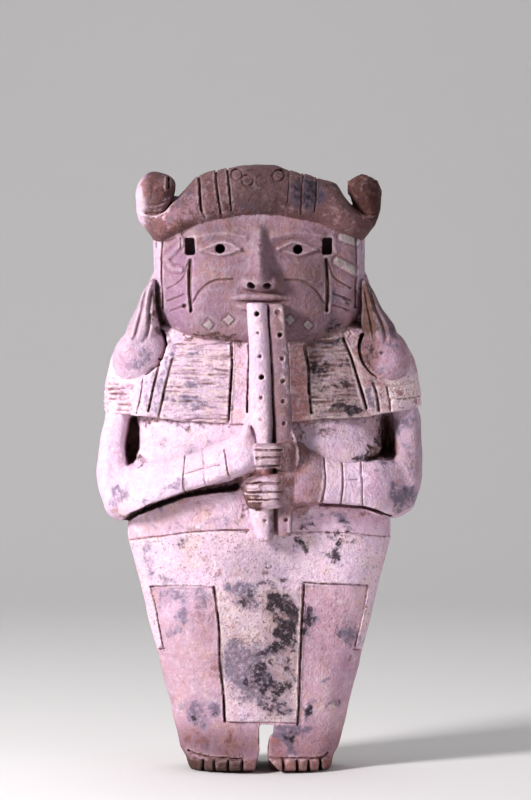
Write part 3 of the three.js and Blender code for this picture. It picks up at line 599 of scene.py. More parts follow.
# fine dragged scratches, long in X and short in Z
drag = noise(GX / 6.0, ZERO + 7, WZ / 0.95, 1.0, 61) + 0.6 * noise(GX / 3.0, ZERO + 9, WZ / 0.6, 1.0, 62)
panels = np.minimum(left_panel, right_panel)
broken_up = np.clip(0.55 + 1.1 * noise(GX / 9.0, ZERO + 3, WZ / 1.9, 1.0, 64) + 0.5 * noise(GX / 2.4, ZERO + 3, WZ / 1.2, 1.0, 65), 0.0, 1.5)
rib_l = ribs(left_panel, 1.95, 192, 0.025, 0.56, sharp=1.2) * broken_up
rib_r = ribs(right_panel, 2.25, 193, -0.03, 0.78, wander=0.9, sharp=1.1) * broken_up
rib_s = ribs(left_sleeve, 2.3, 174.5, -0.03, 0.60, sharp=1.1) * (0.4 + 0.6 * broken_up)
cape.cut = np.maximum(cape.cut, rib_l)
cape.cut = np.maximum(cape.cut, rib_r)
cape.cut = np.maximum(cape.cut, rib_s)
cape.lift += 0.26 * drag * smoothstep(0.3, -0.6, np.minimum(panels, left_sleeve))
cape.lift += 0.15 * drag * smoothstep(0.3, -0.6, right_sleeve)
cape.line(GG((231.4, 344), (231, 380), (229, 421)), 1.35, 2.4, 0.6, dry=0.5)
cape.line(GG((173.5, 358), (168, 378), (161, 408), (159, 420)), 1.35, 1.9, 0.2, dry=0.3)
cape.line(GG((179.4, 343), (173.5, 358)), 0.7, 0.5, 0.05, smooth=False)
cape.line(GG((160, 364), (154.5, 384), (148.6, 411)), 1.3, 1.9, 0.2, dry=0.3)
cape.line(GG((142.4, 378), (140.5, 395), (137, 413)), 0.85, 1.1, 0.1, dry=0.4)
cape.line(GG((303.9, 346), (307.5, 366), (309, 388), (311.6, 412)), 1.55, 2.4, 0.2, dry=0.3)
cape.line(GG((342.6, 339), (351, 358), (360, 386), (366.0, 407.4)), 1.6, 2.3, 0.2, dry=0.2)
cape.line(GG((372.8, 382), (377, 397), (378.4, 410)), 1.45, 1.9, 0.15, dry=0.3)
cape.line(GG((386, 386), (389, 400), (389.4, 410)), 1.1, 1.5, 0.1, dry=0.3)
cape.line(GG((247.6, 344), (247.8, 380), (247.4, 411)), 1.1, 2.0, 0.1, dry=0.6)
cape.line(GG((386, 398.6), (402, 398.6), (420, 396.5)), 0.8, 0.6, 0.6, dry=0.6)
cape.line(GG((388, 386), (402, 385), (414, 381)), 0.8, 0.5, 0.3)
cape.line(GG((310, 339.8), (322, 337.6), (341, 335.2)), 1.0, 0.7, 0.1, dry=0.6)
# small squares stamped at the ends of the collar
for x, z in (G(167.6, 338.4), (39.5, 197.0)):
    dia = np.abs(WX - x) + np.abs(WZ - z) * 0.9
    cape.cut = np.maximum(cape.cut, 0.8 * np.exp(-((dia - 2.1) / 0.45) ** 2))
cape.pit(*G(161, 356.8), 1.15, 3.6)
# the strips beside the flutes sit a little lower than the panels
cape.field(polygon([(-12.0, 194), (-6, 194), (-6, 150), (-13.6, 150)]), -0.35, 0.8)
cape.field(polygon([(13.6, 196), (21.0, 196), (23.8, 150), (14.4, 150)]), -1.0, 0.8)
hem = np.interp(AX[0], [-77, -69.7, -54.9, -34, -13, 5, 23, 36, 48, 56, 60, 66.3, 72.5, 77],
                [162.0, 161.8, 160.2, 158.8, 157.0, 157.6, 158.8, 159.0, 159.9, 161.8, 162.4, 163.5, 164.4, 164.8]).astype(F)
hem = hem + 0.35 * noise(AX[0], AX[0] * 0, AX[0] * 0, 7, 15)

s, X, Y, Z = window(-77, 77, -30, 30, 150, 206)
d = stack(CAPE, X - 1.35, Y, Z, 2.7)
d = cape.apply(d, s, Y, near=-3.0, far=4.0)
d = smax(d, hem[s[0]][:, None, None] - Z, 0.9)
d = smax(d, Z - 203.5, 1.5)
add(s, d, CAPE_ID, 0.6)

# ---- head and face
face = Drawing()
for side in (-1, 1):
    ex = side * EYE_X
    # shallow socket, raised lids and a lifted brow
    face.field(((WX - ex) / (EYE_W * 0.62)) ** 2 * 3 + ((WZ - EYE_Z) / 4.9) ** 2 * 3 - 3, -0.9, 2.6)
    lid_top = curve([(ex - EYE_W / 2, EYE_Z - 0.2), (ex - side * 1.0, EYE_Z + 3.0), (ex + EYE_W / 2, EYE_Z - 0.2)])
    lid_low = curve([(ex - EYE_W / 2, EYE_Z - 0.2), (ex, EYE_Z - 2.9), (ex + EYE_W / 2, EYE_Z - 0.2)])
    for pts, h in ((lid_top, 1.3), (lid_low, 0.95)):
        dd = line_distance(pts)
        face.lift += h * np.exp(-(dd / 0.85) ** 2)
    almond = polygon(lid_top + lid_low[::-1])
    face.field(almond, 0.55, 1.6)
    dd = line_distance(curve([(side * 6.0, BROW_Z + 0.2), (ex, BROW_Z + 2.2), (side * 28, BROW_Z + 0.6)]))
    face.lift += 1.1 * np.exp(-(dd / 1.5) ** 2)
    # cheek
    face.lift += 1.1 * np.exp(-(((WX - side * 20) / 9.5) ** 2 + ((WZ - 219) / 8.0) ** 2))
    # vertical cut down the cheek and the painted lines about it
    face.line([(side * 30.4, EYE_Z - 5.0), (side * 30.9, 219), (side * 30.4, 208.0)], 1.9, 2.1, 0.18)
    face.line([(side * 29.4, 211.5), (side * 25.4, 217.4), (side * 19.5, 221.2), (side * 11.5, 221.9)], 1.25, 1.0, 0.16)
    # strokes on the outer cheek
    face.line([(side * 31.5, 229.4), (side * 34.2, 222.4), (side * 41.4, 217.6)], 1.15, 0.9, 0.16)
    face.line([(side * 33.4, 215.4), (side * 41.0, 212.2)], 1.15, 0.85, 0.16, smooth=False)
    face.line([(side * 33.0, 210.4), (side * 40.0, 207.8)], 1.1, 0.8, 0.16, smooth=False)
    # side band of the head, behind an upright cut
    face.line([(side * 43.4, 243), (side * 43.9, 226), (side * 43.2, 209)], 1.2, 1.1, 0.25)
    face.line([(side * 46.4, 238), (side * 46.6, 229)], 0.9, 0.6, 0.1, smooth=False)
    # diamonds on the jaw
    for x, z in ((13.6, 203.6), (22.2, 201.4)):
        cx = side * x
        dia = np.abs(WX - cx) + np.abs(WZ - z) * 0.92
        ring_d = np.abs(dia - 3.0) / 1.4
        face.cut = np.maximum(face.cut, 0.65 * (1 - np.clip(ring_d / 0.45, 0, 1) ** 2))
        face.lift += 0.35 * smoothstep(2.6, 2.0, dia)
face.pit(-33.4, 210.2, 1.0, 1.7)
# scroll on one temple, two small bars on the other
scroll = line_distance(curve([(-41.5, 240.8), (-37.0, 242.2), (-34.6, 238.6), (-38.2, 234.6), (-41.6, 231.2), (-39.4, 227.0), (-35.0, 226.4)], 8))
face.lift += 0.75 * np.exp(-(scroll / 1.25) ** 4)
face.cut = np.maximum(face.cut, 0.55 * np.exp(-((scroll - 2.1) / 0.5) ** 2))
face.line([(-34.9, 240.4), (-34.9, 236.2)], 0.9, 0.9, smooth=False)
for bar in ([(38.0, 240.4), (43.4, 238.6)], [(35.8, 229.6), (43.6, 225.2)]):
    bd = line_distance(bar)
    face.lift += 0.6 * np.exp(-(bd / 1.7) ** 4)
    face.cut = np.maximum(face.cut, 0.5 * np.exp(-((bd - 2.5) / 0.5) ** 2))
# jaw and chin: a soft mound
face.lift += 1.0 * np.exp(-((WX / 17) ** 2 + ((WZ - CHIN_Z - 5) / 5.5) ** 2))

s, X, Y, Z = window(-52, 52, -33, 26, 190, 258)
d = stack(HEAD, X, Y, Z, 2.7)
d = face.apply(d, s, Y, near=-12.0, far=-2.0)
d = smax(d, np.maximum(192.6 - Z, Z - 255), 1.4)
add(s, d, HEAD_ID, 0.8)
# clay behind the ear ornaments, from the neck to the shoulder
for side in (-1, 1):
    s, X, Y, Z = window(*sorted((side * 36, side * 66)), -14, 20, 184, 228)
    d = limb_z([(186, 50, 11, 3, 9), (194, 50, 9.5, 2.4, 9), (202, 49.0, 7.4, 1.6, 8.6), (210, 47.8, 5.4, 0.6, 8.0),
                (218, 47.0, 3.8, -0.4, 7.4), (225, 46.0, 2.4, -1, 6)], X, Y, Z, power=2.3, ends=2, mirror=side)
    add(s, d, HEAD_ID, 1.0)

# nose: one eye wide at its base
NOSE = [
    (NOSE_Z - 2.4, EYE_W / 2 - 3.4, 3.6),
    (NOSE_Z - 0.6, EYE_W / 2 - 1.0, 8.0),
    (NOSE_Z + 2.0, EYE_W / 2 - 0.3, 11.0),
    (NOSE_Z + 5.0, EYE_W / 2 - 1.9, 11.4),
    (NOSE_Z + 9.0, 5.0, 9.6),
    (NOSE_Z + 14.0, 3.9, 6.6),
    (BROW_Z, 3.4, 3.2),
    (BROW_Z + 5, 3.4, 1.0),
]
s, X, Y, Z = window(-12, 12, -42, -20, 212, 250)
half, out = [c[None, None, :] for c in rows(NOSE, Z[0, 0])]
d = section(X, Y - (FACE_Y + 3), half, out + 3, 1.75)
d = smax(d, np.maximum(NOSE[0][0] - Z, Z - NOSE[-1][0]), 2.5)
d = smax(d, Y - (FACE_Y + 3), 1.0)
add(s, d, HEAD_ID, 2.2)
for side in (-1, 1):   # wings of the nose
    s, X, Y, Z = window(-12, 12, -42, -20, 212, 228)
    add(s, egg(X, Y, Z, (side * 5.6, FACE_Y - 3.6, NOSE_Z + 2.0), (3.0, 4.6, 3.2)), HEAD_ID, 1.6)
    carve(s, segment(X, Y, Z, (side * 3.5, FACE_Y - 9.6, NOSE_Z - 0.6), (side * 3.0, FACE_Y + 2, NOSE_Z + 3.4), 1.95, 1.6), 0.4)
# mouth: calm lips over the ends of the flutes
s, X, Y, Z = window(-24, 26, -40, -20, 200, 222)
for pts, zs, r in (([(-16.0, 1.2), (-6, -1.6), (6, -1.6), (17.0, 1.2)], (1.2, 2.6, 2.6, 1.2), 1.6),
                   ([(-15.0, 1.4), (-6, -0.8), (6, -0.8), (16.0, 1.4)], (-0.6, -1.9, -1.9, -0.6), 1.6)):
    q3 = [(a[0], FACE_Y + a[1] - 0.4, MOUTH_Z + dz) for a, dz in zip(pts, zs)]
    add(s, chain(X, Y, Z, q3, (0.7, r, r, 0.7)), HEAD_ID, 1.2)
slit = [(-15.5, FACE_Y - 1.4, MOUTH_Z + 0.1), (-6, FACE_Y - 4.6, MOUTH_Z + 0.5), (6, FACE_Y - 4.6, MOUTH_Z + 0.5), (16.5, FACE_Y - 1.4, MOUTH_Z + 0.1)]
carve(s, chain(X, Y, Z, slit, (0.5, 0.85, 0.85, 0.5)), 0.3)

# ---- turban
turban = Drawing()
for pts, w, dep in (
    (GG((198.0, 170), (198.3, 179), (199.4, 194), (200.7, 207), (202, 211)), 1.45, 2.3),
    (GG((216.2, 168), (215.2, 178), (217.6, 194), (220.3, 208), (220.8, 213)), 1.35, 2.0),
    (GG((227.2, 164), (227.4, 171), (229.2, 188), (231.3, 206), (231.8, 210)), 1.25, 1.8),
    (GG((289.8, 168), (289.4, 180), (288.8, 192), (287.6, 204)), 0.85, 0.55),
    (GG((304.5, 172), (302.5, 188), (300.4, 206), (299.8, 215)), 0.95, 0.9),
    (GG((317.6, 176), (316.6, 190), (315.6, 200), (313.6, 212)), 1.0, 1.1),
):
    turban.line(pts, w * 0.85, dep, 0.3, dry=0.3)
# the soft lower ends of the cut lines, and a low pad between each pair
turban.line(GG((202, 211), (205.4, 217)), 1.2, 0.7, 0.1, smooth=False)
turban.line(GG((220.8, 213), (222.0, 222)), 1.2, 0.9, 0.1, smooth=False)
for c, w in ((208.5, 8.5), (223.2, 5.4), (294.5, 5.5), (307.5, 6.0)):
    uu = (WX - G(c, 0)[0]) / (w * 0.45)
    turban.lift += 0.45 * np.clip(1 - uu ** 4, 0, 1) * smoothstep(248, 253, WZ)
for x, z, r in ((-9.9, 268.4, 2.5), (-4.9, 266.0, 2.5), (8.7, 268.2, 2.6), (1.4, 266.2, 2.3)):
    turban.ring(x, z, r, 0.95, 1.0 if x != 1.4 else 0.4)
turban.line([(-4.6, 270.6), (1, 270.9), (6.4, 270.4)], 0.9, 0.5)
# the curls of each roll end in curved cuts across the turban's corners
CURLS = [
    (GG((150.6, 205.2), (156.6, 204.5), (161.7, 202.4), (167.0, 199.8)), 0.95, 0.8, 0.0),
    (GG((143.4, 203.6), (150.6, 205.2)), 0.9, 0.3, 0.0),
    (GG((146.4, 212.6), (153.4, 213.7), (159.7, 212.7), (165.6, 208.6), (170.6, 201.6)), 1.1, 1.2, 0.0),
    (GG((139.8, 209.6), (146.4, 212.6)), 0.9, 0.4, 0.0),
    (GG((154.0, 217.6), (159.0, 216.8), (164.4, 214.0)), 0.8, 0.5, 0.2),
    (GG((361.0, 211.8), (364.0, 214.4), (368.0, 215.3), (372.0, 214.8), (375.6, 212.4)), 1.0, 0.9, 0.0),
]
CURL_LIPS = [
    (GG((150.6, 207.2), (157.7, 206.4), (164.6, 203.6), (167.6, 201.8)), 0.40),
    (GG((142.0, 213.2), (147.4, 215.4), (153.6, 216.2), (160.7, 214.8), (168.0, 209.4), (172.4, 203.4)), 0.50),
    (GG((361.4, 215.0), (366.3, 217.4), (370.7, 217.4), (375.6, 214.6)), 0.40),
]


def curls(drawing):
    for pts, w, dep, lip in CURLS:
        drawing.line(pts, w, dep, lip)
    for pts, high in CURL_LIPS:
        drawing.lift += high * np.exp(-(line_distance(curve(pts)) / 0.5) ** 2)


curls(turban)
turban.field(np.hypot(WX + 8.6, (WZ - 264.0) * 0.8) - 7.5, 0.35, 3.0)
s, X, Y, Z = window(-60, 60, -34, 30, 236, 277)
d = limb_x(TURBAN, X, Y, Z, power=2.8, ends=3.0)
d = turban.apply(d, s, Y, near=-8.0, far=-2.0)
add(s, d, TURBAN_ID, 0.9)

# clay closing the notch behind the left roll
s, X, Y, Z = window(-50, -28, -18, 18, 246, 266)
add(s, egg(X, Y, Z, (-38.5, -2, 253.5), (7.5, 13, 6.2)), TURBAN_ID, 1.5)

# ---- rolls of the turban
roll = Drawing()
roll.line(GG((167.4, 177.4), (167.3, 182), (167.2, 187.6)), 1.2, 1.9, 0.0, smooth=False)
roll.lift += 0.5 * np.exp(-(line_distance(GG((164.9, 177.0), (164.6, 183), (164.3, 188.6), (165.8, 190.6))) / 0.5) ** 2)
curls(roll)
for pts in (((150, 178), (153, 190), (151.5, 198)), ((157, 190), (155.6, 196))):
    roll.line(GG(*pts), 1.6, 0.45, 0.0, smooth=False, dry=0.9)
for side in (-1, 1):
    s, X, Y, Z = window(*sorted((side * 34, side * 60)), -30, 8, 242, 275)
    if side < 0:
        d = egg(X, Y, Z, (-47.1, -11.5, 259.6), (8.7, 13.0, 10.8))
        d = smin(d, egg(X, Y, Z, (-42.4, -11.5, 264.0), (4.9, 11.0, 4.8)), 2.5)
        d = smin(d, egg(X, Y, Z, (-47.4, -9.5, 251.6), (7.2, 11.5, 7.4)), 3.5)
    else:      # its end is crumbled
        d = egg(X, Y, Z, (47.2, -11.5, 261.0), (6.4, 12.0, 7.7))
        d = smin(d, egg(X, Y, Z, (43.6, -11.5, 263.8), (4.0, 9.5, 4.1)), 1.0)
        d = smin(d, egg(X, Y, Z, (50.8, -11.0, 262.0), (4.0, 10.0, 4.7)), 1.0)
        d = smin(d, egg(X, Y, Z, (48.9, -10.6, 257.2), (5.9, 11.4, 8.4)), 2.0)
        d = smin(d, egg(X, Y, Z, (49.8, -10.0, 251.6), (3.9, 10.4, 7.0)), 2.5)
        crumble = (0.6 * noise(X, Y, Z, 4.2, 71) + 0.6 * noise(X, Y, Z, 2.0, 72) + 0.4 * noise(X, Y, Z, 1.1, 73)) * smoothstep(255, 261, Z)
        d = (d + crumble + 0.3 * smoothstep(255, 261, Z)).astype(F)
    d = roll.apply(d, s, Y, near=-12.0, far=-4.0)
    add(s, d, ROLL_ID, 0.8)

# ---- ear ornaments: a ribbed fan over a heavy drop
FAN = [
    (188.0, 55.0, 7.2, -13.2, 9.0),
    (194.0, 53.8, 7.8, -13.4, 9.6),
    (200.2, 52.5, 7.4, -13.4, 9.8),
    (205.0, 51.7, 5.9, -13.4, 9.6),
    (209.2, 51.1, 4.4, -13.2, 9.2),
    (216.0, 49.9, 2.8, -12.8, 8.2),
    (219.6, 48.7, 1.7, -12.4, 6.6),
    (221.6, 48.0, 0.8, -12.0, 4.0),
]
for side, move, cx, cz, turn, rl, rs in ((-1, 0.0, -54.2, 188.4, 55, 13.8, 11.0), (1, 1.2, 56.4, 187.2, 122, 13.0, 11.2)):
    s, X, Y, Z = window(*sorted((side * 40, side * 68)), -28, 4, 184, 226)
    xc, hw, yc, hd = [c[None, None, :] for c in rows(FAN, Z[0, 0])]
    xc = xc - (1.8 * smoothstep(199, 213, Z)).astype(F) * (side > 0)
    u = (side * X - xc - move) / np.maximum(hw, 0.6)
    d = section(side * X - xc - move, Y - yc, np.maximum(hw, 0.5), np.maximum(hd, 0.5), 2.3)
    groove = np.minimum(np.abs(u + 0.36), np.abs(u - 0.30)) * hw
    d = d + (1.8 * np.exp(-(groove / 0.80) ** 2) * smoothstep(-7, -11, Y) * smoothstep(221, 215, Z)).astype(F)
    d = smax(d, np.maximum(187 - Z, Z - 222), 1.2)
    add(s, d.astype(F), PENDANT_ID, 0.5)
    # the heavy drop: a flat-fronted oval, cut free along its inner and lower side
    s, X, Y, Z = window(*sorted((side * 38, side * 74)), -32, 2, 170, 206)
    d = turned_egg(X, Y, Z, (cx, -12.0, cz), (rl, 13.5, rs), turn)
    d = smax(d, -23.0 - Y - 0.06 * side * (X - cx), 3.6)
    a = np.degrees(np.arctan2(Z - cz, side * (cx - X)))     # 0 inwards, -90 down
    keep = smoothstep(66, 40, a) * smoothstep(-112, -60, a)
    wide = 0.5 + 0.5 * smoothstep(-70, 0, a)
    carve(s, (np.abs(d - wide) - wide * keep + 2.5 * (1 - keep)).astype(F), 0.3)
    add(s, d, PENDANT_ID, 0.35)

# ---- arms
wrist = Drawing()
wrist.line(GG((185.4, 454), (184.4, 470), (184.4, 482), (186.6, 490)), 0.95, 1.0, 0.25)
wrist.line(GG((203.6, 448), (204.6, 466), (205.6, 478), (208, 488)), 0.85, 0.7, 0.2, dry=0.3)
wrist.line(GG((224.4, 448), (226.6, 462), (229, 474), (232, 481)), 0.95, 1.0, 0.35)
wrist.line(GG((187, 471), (196, 468.6), (204, 466.2)), 0.95, 0.9, 0.25)
wrist.line(GG((206, 466), (213, 464.2), (220.4, 463)), 0.9, 0.7, 0.2)
wrist.line(GG((323.0, 456), (324.2, 472), (323.4, 486), (320.4, 500)), 1.0, 1.2, 0.0)
wrist.lift += 0.45 * np.exp(-(line_distance(curve(GG((321.2, 455), (322.4, 472), (321.6, 487), (318.4, 501)))) / 0.45) ** 2)
wrist.line(GG((340.8, 454), (341.6, 474), (341.2, 488), (339.4, 504)), 1.15, 1.2, 0.3)
wrist.line(GG((360.6, 456), (361.4, 480), (361.4, 504)), 1.0, 0.9, 0.25, dry=0.3)
wrist.line(GG((342, 478.4), (350, 478), (357, 478.4)), 0.85, 0.6, 0.15)
for side, upper, fore, power, lean, inner in ((-1, UPPER_ARM_L, FOREARM_A, 3.4, -0.34, 0), (1, UPPER_ARM_R, FOREARM_B, 3.4, -0.28, 10)):
    s, X, Y, Z = window(*sorted((side * inner, side * 77)), -46, 20, 108, 176)
    above = limb_z(upper, X, Y, Z, power=2.9, ends=2.5, mirror=side)
    along = limb_x(fore, X, Y, Z, power=power, ends=2.5, mirror=side, lean=lean)
    along = wrist.apply(along, s, Y, near=-12.0, far=-6.0)
    add(s, smin(above, along, 5.5), ARM_ID, 0.55)


def slot(points, y_at, soft=0.6):
    """Cuts an outline straight back from the front, as far as y_at(X)."""
    x0, x1 = min(p[0] for p in points) - 2, max(p[0] for p in points) + 2
    z0, z1 = min(p[1] for p in points) - 2, max(p[1] for p in points) + 2
    s, X, Y, Z = window(x0, x1, -46, 4, z0, z1)
    flat = polygon(points)[s[0], s[2]][:, None, :]
    back = np.interp(X[:, 0, 0], *y_at).astype(F)[:, None, None]
    carve(s, np.maximum(flat, Y - back).astype(F), soft)


# the arms stand free of the belly along their lower edges
CREVICE = GG((122, 521.5), (131, 513.5), (151, 503.2), (171, 496.2), (185, 490.6), (209, 486), (232, 481), (246, 475.2), (255.5, 470.6), (276, 468.9),
             (277, 473.6), (258, 475.4), (249, 480.0), (243.4, 486.6), (238, 489.6), (214, 491.8), (193, 495), (177, 499.2), (160, 506), (138, 515.4), (124.6, 523.8))
slot(CREVICE, ([-64, -58, -50, -40, -25, -9, -5, 8], [-1, -3, -9, -13.5, -16.5, -17.5, -34.0, -37.0]), 0.5)
slot(GG((318, 500.4), (340, 501.6), (361.4, 504.2), (379, 509), (393, 515), (392, 517.2), (378, 512.2), (361, 507.4), (340, 505.4), (318, 504.6)),
     ([24, 40, 50, 58, 62], [-22.5, -19.0, -15.0, -8.5, -4.5]), 0.8)
for pts, r in (
    ([(-61.0, -11, 113.4), (-55.0, -17.5, 117.2), (-48.4, -21.2, 120.8), (-39.6, -23.2, 124.6), (-33.3, -24.4, 126.8),
      (-22.6, -26.0, 129.2), (-12.3, -27.4, 131.8), (-6, -29.0, 134.4)], (0.6, 1.3, 1.6, 1.9, 2.0, 2.0, 2.0, 1.5)),
):
    x0, x1 = min(p[0] for p in pts) - 4, max(p[0] for p in pts) + 4
    s, X, Y, Z = window(x0, x1, -36, -8, 108, 140)
    carve(s, chain(X, Y, Z, pts, r), 0.8)

# ---- the flutes and the clay that ties them to the chest
flute = Drawing()
HOLES_A = GG((257.5, 313.3), (257.8, 332.5), (259.8, 355.7), (260.9, 376.1), (261.1, 396.6), (261.1, 418.0), (264.3, 517.4))
HOLES_B = GG((277.6, 311.8), (279.4, 334.7), (281.0, 357.8), (282.3, 379.6), (283.7, 400.2), (284.1, 422.2), (285.7, 517.0))
for (hx, hz), r, deep_by in zip(HOLES_A, (1.05, 0.85, 0.85, 1.1, 0.9, 0.95, 0.9), (3.0, 1.0, 1.6, 3.2, 1.2, 0.7, 1.0)):
    flute.pit(hx, hz, r, deep_by)
for (hx, hz), r, deep_by in zip(HOLES_B, (1.25, 1.0, 0.95, 0.95, 0.9, 0.9, 0.9), (1.0, 2.4, 1.5, 1.5, 1.4, 1.3, 1.3)):
    flute.pit(hx, hz, r, deep_by)
s, X, Y, Z = window(-8, 18, -41, -18, 100, 214)
low = (-4.2 + 2.4 * smoothstep(152, 140, Z)).astype(F)
edge_b = np.interp(AX[2][s[2]], [107, 152, 178, 196.6, 211], [14.2, 14.6, 13.4, 12.0, 10.8]).astype(F)[None, None, :]
web = np.maximum(np.maximum(low - X, X - edge_b), np.maximum(-30.0 - Y, Y + 12))
web = smax(web, np.maximum(107.5 - Z, Z - 205), 1.5)
add(s, web.astype(F), FLUTE_ID, 1.6)
d = limb_z(FLUTE_A, X, Y, Z, power=2.05, ends=0.9)
d = flute.apply(d, s, Y, near=-33.0, far=-31.0)
add(s, d, FLUTE_ID, 0.35)
d = limb_z(FLUTE_B, X, Y, Z, power=2.4, ends=0.9)
# the second flute is flatter in front, with a ridge on its outer edge
ridge_x = (edge_b - 0.9).astype(F)
d = smin(d, np.sqrt((X - ridge_x) ** 2 + (Y + 34.5) ** 2) - 0.85 + 4 * (Z > 210) + 4 * (Z < 109), 0.9)
d = flute.apply(d, s, Y, near=-33.0, far=-31.0)
add(s, d.astype(F), FLUTE_ID, 0.35)

# ---- hands
HAND_A = GG((225.5, 444), (231, 436), (237.4, 429.8), (243, 422.5), (247.5, 416), (251.5, 415.5), (253, 425), (255, 438), (257, 448), (259, 470),
            (252, 472.5), (241, 476), (231.5, 478.8), (226, 470))
HAND_B = GG((281, 479), (285, 473), (288, 464), (290, 452), (292, 441), (297, 439), (303.5, 441.4), (309, 447.4), (315, 453.6),
            (322, 458.4), (322, 501), (300, 507), (284, 510), (280, 500))
for pts, yc, hy, tilt, k in ((HAND_A, -33.6, 5.4, 0.12, 2.4), (HAND_B, -31.0, 5.2, -0.22, 1.6)):
    x0, x1 = min(p[0] for p in pts) - 5, max(p[0] for p in pts) + 5
    s, X, Y, Z = window(x0, x1, -46, -18, 112, 166)
    flat = polygon(pts)[s[0], s[2]][:, None, :]
    lean = (yc - tilt * (X - (x0 + x1) / 2)) + 0.6 * np.maximum(Z - 153.5, 0) + 0.12 * np.maximum(Z - 143, 0) * (yc > -32)
    d = smax(flat + 0.4, np.abs(Y - lean) - hy, 6.5)
    add(s, d.astype(F), HAND_ID, k)
s, X, Y, Z = window(-8, 4, -46, -20, 140, 162)
carve(s, chain(X, Y, Z, [(-3.7, -34.0, 156.2), (-2.8, -35.4, 153), (-1.6, -37.0, 149.8)], (0.5, 0.9, 0.6), flat=2.2), 0.5)
grip = Drawing()
for pts, w, dep, lip in (
    (GG((255, 448.8), (262, 448.2), (272, 447.8), (282, 448.0)), 1.0, 1.1, 0.35),
    (GG((256.5, 456.2), (264, 455.8), (271, 455.4), (280, 455.4)), 1.0, 1.1, 0.45),
    (GG((254.5, 465.6), (263, 464.8), (271, 464.4), (279, 464.2)), 1.0, 1.1, 0.55),
    (GG((246.4, 482.2), (256, 481.8), (268, 481.2), (279.5, 480.6)), 1.0, 1.1, 0.45),
    (GG((246.6, 490.6), (258, 490.0), (268, 489.6), (281.5, 488.8)), 1.0, 1.15, 0.5),
    (GG((249, 497.4), (258, 497.0), (268, 496.6), (278, 496.0)), 1.0, 1.1, 0.5),
    (GG((250.6, 505.6), (258, 505.2), (267, 504.6)), 0.95, 0.8, 0.3),
):
    grip.line(pts, w, dep, lip, dry=0.75)
grip.pit(*G(258, 457), 0.8, 1.2, 0.0)
for z0, z1 in ((148.5, 145.8), (145.8, 142.3), (142.3, 138.2), (134.6, 130.7), (130.7, 126.9), (126.9, 123.8), (123.8, 120.0)):
    u = (WZ - (z0 + z1) / 2) / ((z0 - z1) / 2)
    grip.lift += (0.70 + 0.22 * noise(GX, ZERO + 70, GZ, 3.0, 9)) * np.clip(1 - u * u, 0, 1) ** 0.6 * smoothstep(11.0, 6.0, WX)
s, X, Y, Z = window(-11, 22, -46, -26, 112, 154)
for table, k in ((FIST_A, 1.3), (FIST_B, 0.7)):
    d = limb_x(table, X, Y, Z, power=2.7, ends=1.4)
    add(s, grip.apply(d, s, Y, near=-35.0, far=-31.0), HAND_ID, k)
rim = [(13.9, -34.5, 157.6), (14.7, -35.1, 153.6), (15.7, -35.9, 150.2), (16.7, -36.9, 146.6), (17.0, -37.4, 142.6), (16.6, -37.2, 139.4), (15.2, -36.8, 136.0), (12.0, -36.6, 134.4)]
s, X, Y, Z = window(8, 22, -46, -26, 130, 162)
add(s, chain(X, Y, Z, rim, (0.30, 0.42, 0.65, 0.9, 1.0, 0.95, 0.85, 0.6)), HAND_ID, 0.7)

# ---- openings
def slab(X, Y, Z, x, z, w, h, y0, y1, r=0.8):
    qx, qz = np.abs(X - x) - w / 2 + r, np.abs(Z - z) - h / 2 + r
    d = np.hypot(np.maximum(qx, 0), np.maximum(qz, 0)) + np.minimum(np.maximum(qx, qz), 0) - r
    return np.maximum(d, np.maximum(y0 - Y, Y - y1)).astype(F)


SLOT_L = GG((127.0, 423), (129.4, 417), (135.0, 417.6), (139.2, 428), (139.4, 448), (137, 458), (133, 463), (127.5, 465), (124.2, 456), (124.4, 440))
SLOT_R = GG((385, 416.5), (391, 415.5), (394.6, 430), (397.4, 444), (397.6, 454), (394.4, 458.5), (380, 458), (368, 459.2), (368, 457.8), (377, 454), (382.4, 445), (384.4, 430))
for pts, side in ((SLOT_L, -1), (SLOT_R, 1)):
    s, X, Y, Z = window(*sorted((side * 44, side * 66)), -34, 10, 132, 166)
    flat = polygon(pts)[s[0], s[2]][:, None, :]
    crust = (0.55 * noise(X, Y * 0.6, Z, 3.2, 21) + 0.35 * noise(X, Y, Z, 1.4, 23)).astype(F)
    back = 4.0 + 2.5 * noise(X, Y * 0, Z, 5, 24)
    slope = 0.02 if side < 0 else 0.10 * smoothstep(-30, -20, Y)
    carve(s, np.maximum(flat + crust + slope * (Y + 18), Y - back).astype(F), 0.7 if side < 0 else 1.6)
for side in (-1, 1):
    s, X, Y, Z = window(*sorted((side * 22, side * 36)), -36, -8, 226, 246)
    carve(s, slab(X, Y, Z, side * 30.8, EYE_Z + 1.2, 4.6, 7.6, -40, -12, 1.0), 0.4)
    s, X, Y, Z = window(*sorted((side * 12, side * 24)), -36, -8, 228, 242)
    carve(s, segment(X, Y, Z, (side * EYE_X, -40, EYE_Z), (side * EYE_X, -14, EYE_Z), 2.15), 0.35)
FOOT_GAP = GG((254, 790), (254.4, 769.5), (255.0, 766.8), (256.3, 762.6), (257.9, 756), (259.0, 749), (258.8, 740), (259.0, 729), (260.5, 724.6), (274.4, 724.2), (273.8, 730.5),
              (269.4, 734.5), (268.2, 745), (268.2, 758), (269.2, 764), (271.8, 769), (272.5, 790))
s, X, Y, Z = window(-8, 12, -34, 30, -4, 26)
flat = polygon(FOOT_GAP)[s[0], s[2]][:, None, :]
w = (0.3 * noise(X, Y * 0.4, Z, 4, 22)).astype(F)
gap = (flat + 0 * Y).astype(F)
for slope in (0.04, 0.08, 0.12, 0.16):      # its top falls towards the back
    gap = np.minimum(gap, polygon(FOOT_GAP, (X + 0 * Y + 0 * Z).astype(F), (0 * X + Z + slope * np.maximum(Y + 24, 0)).astype(F)))
carve(s, (gap + w).astype(F), 0.6)

# ------------------------------------------------------------------ skin

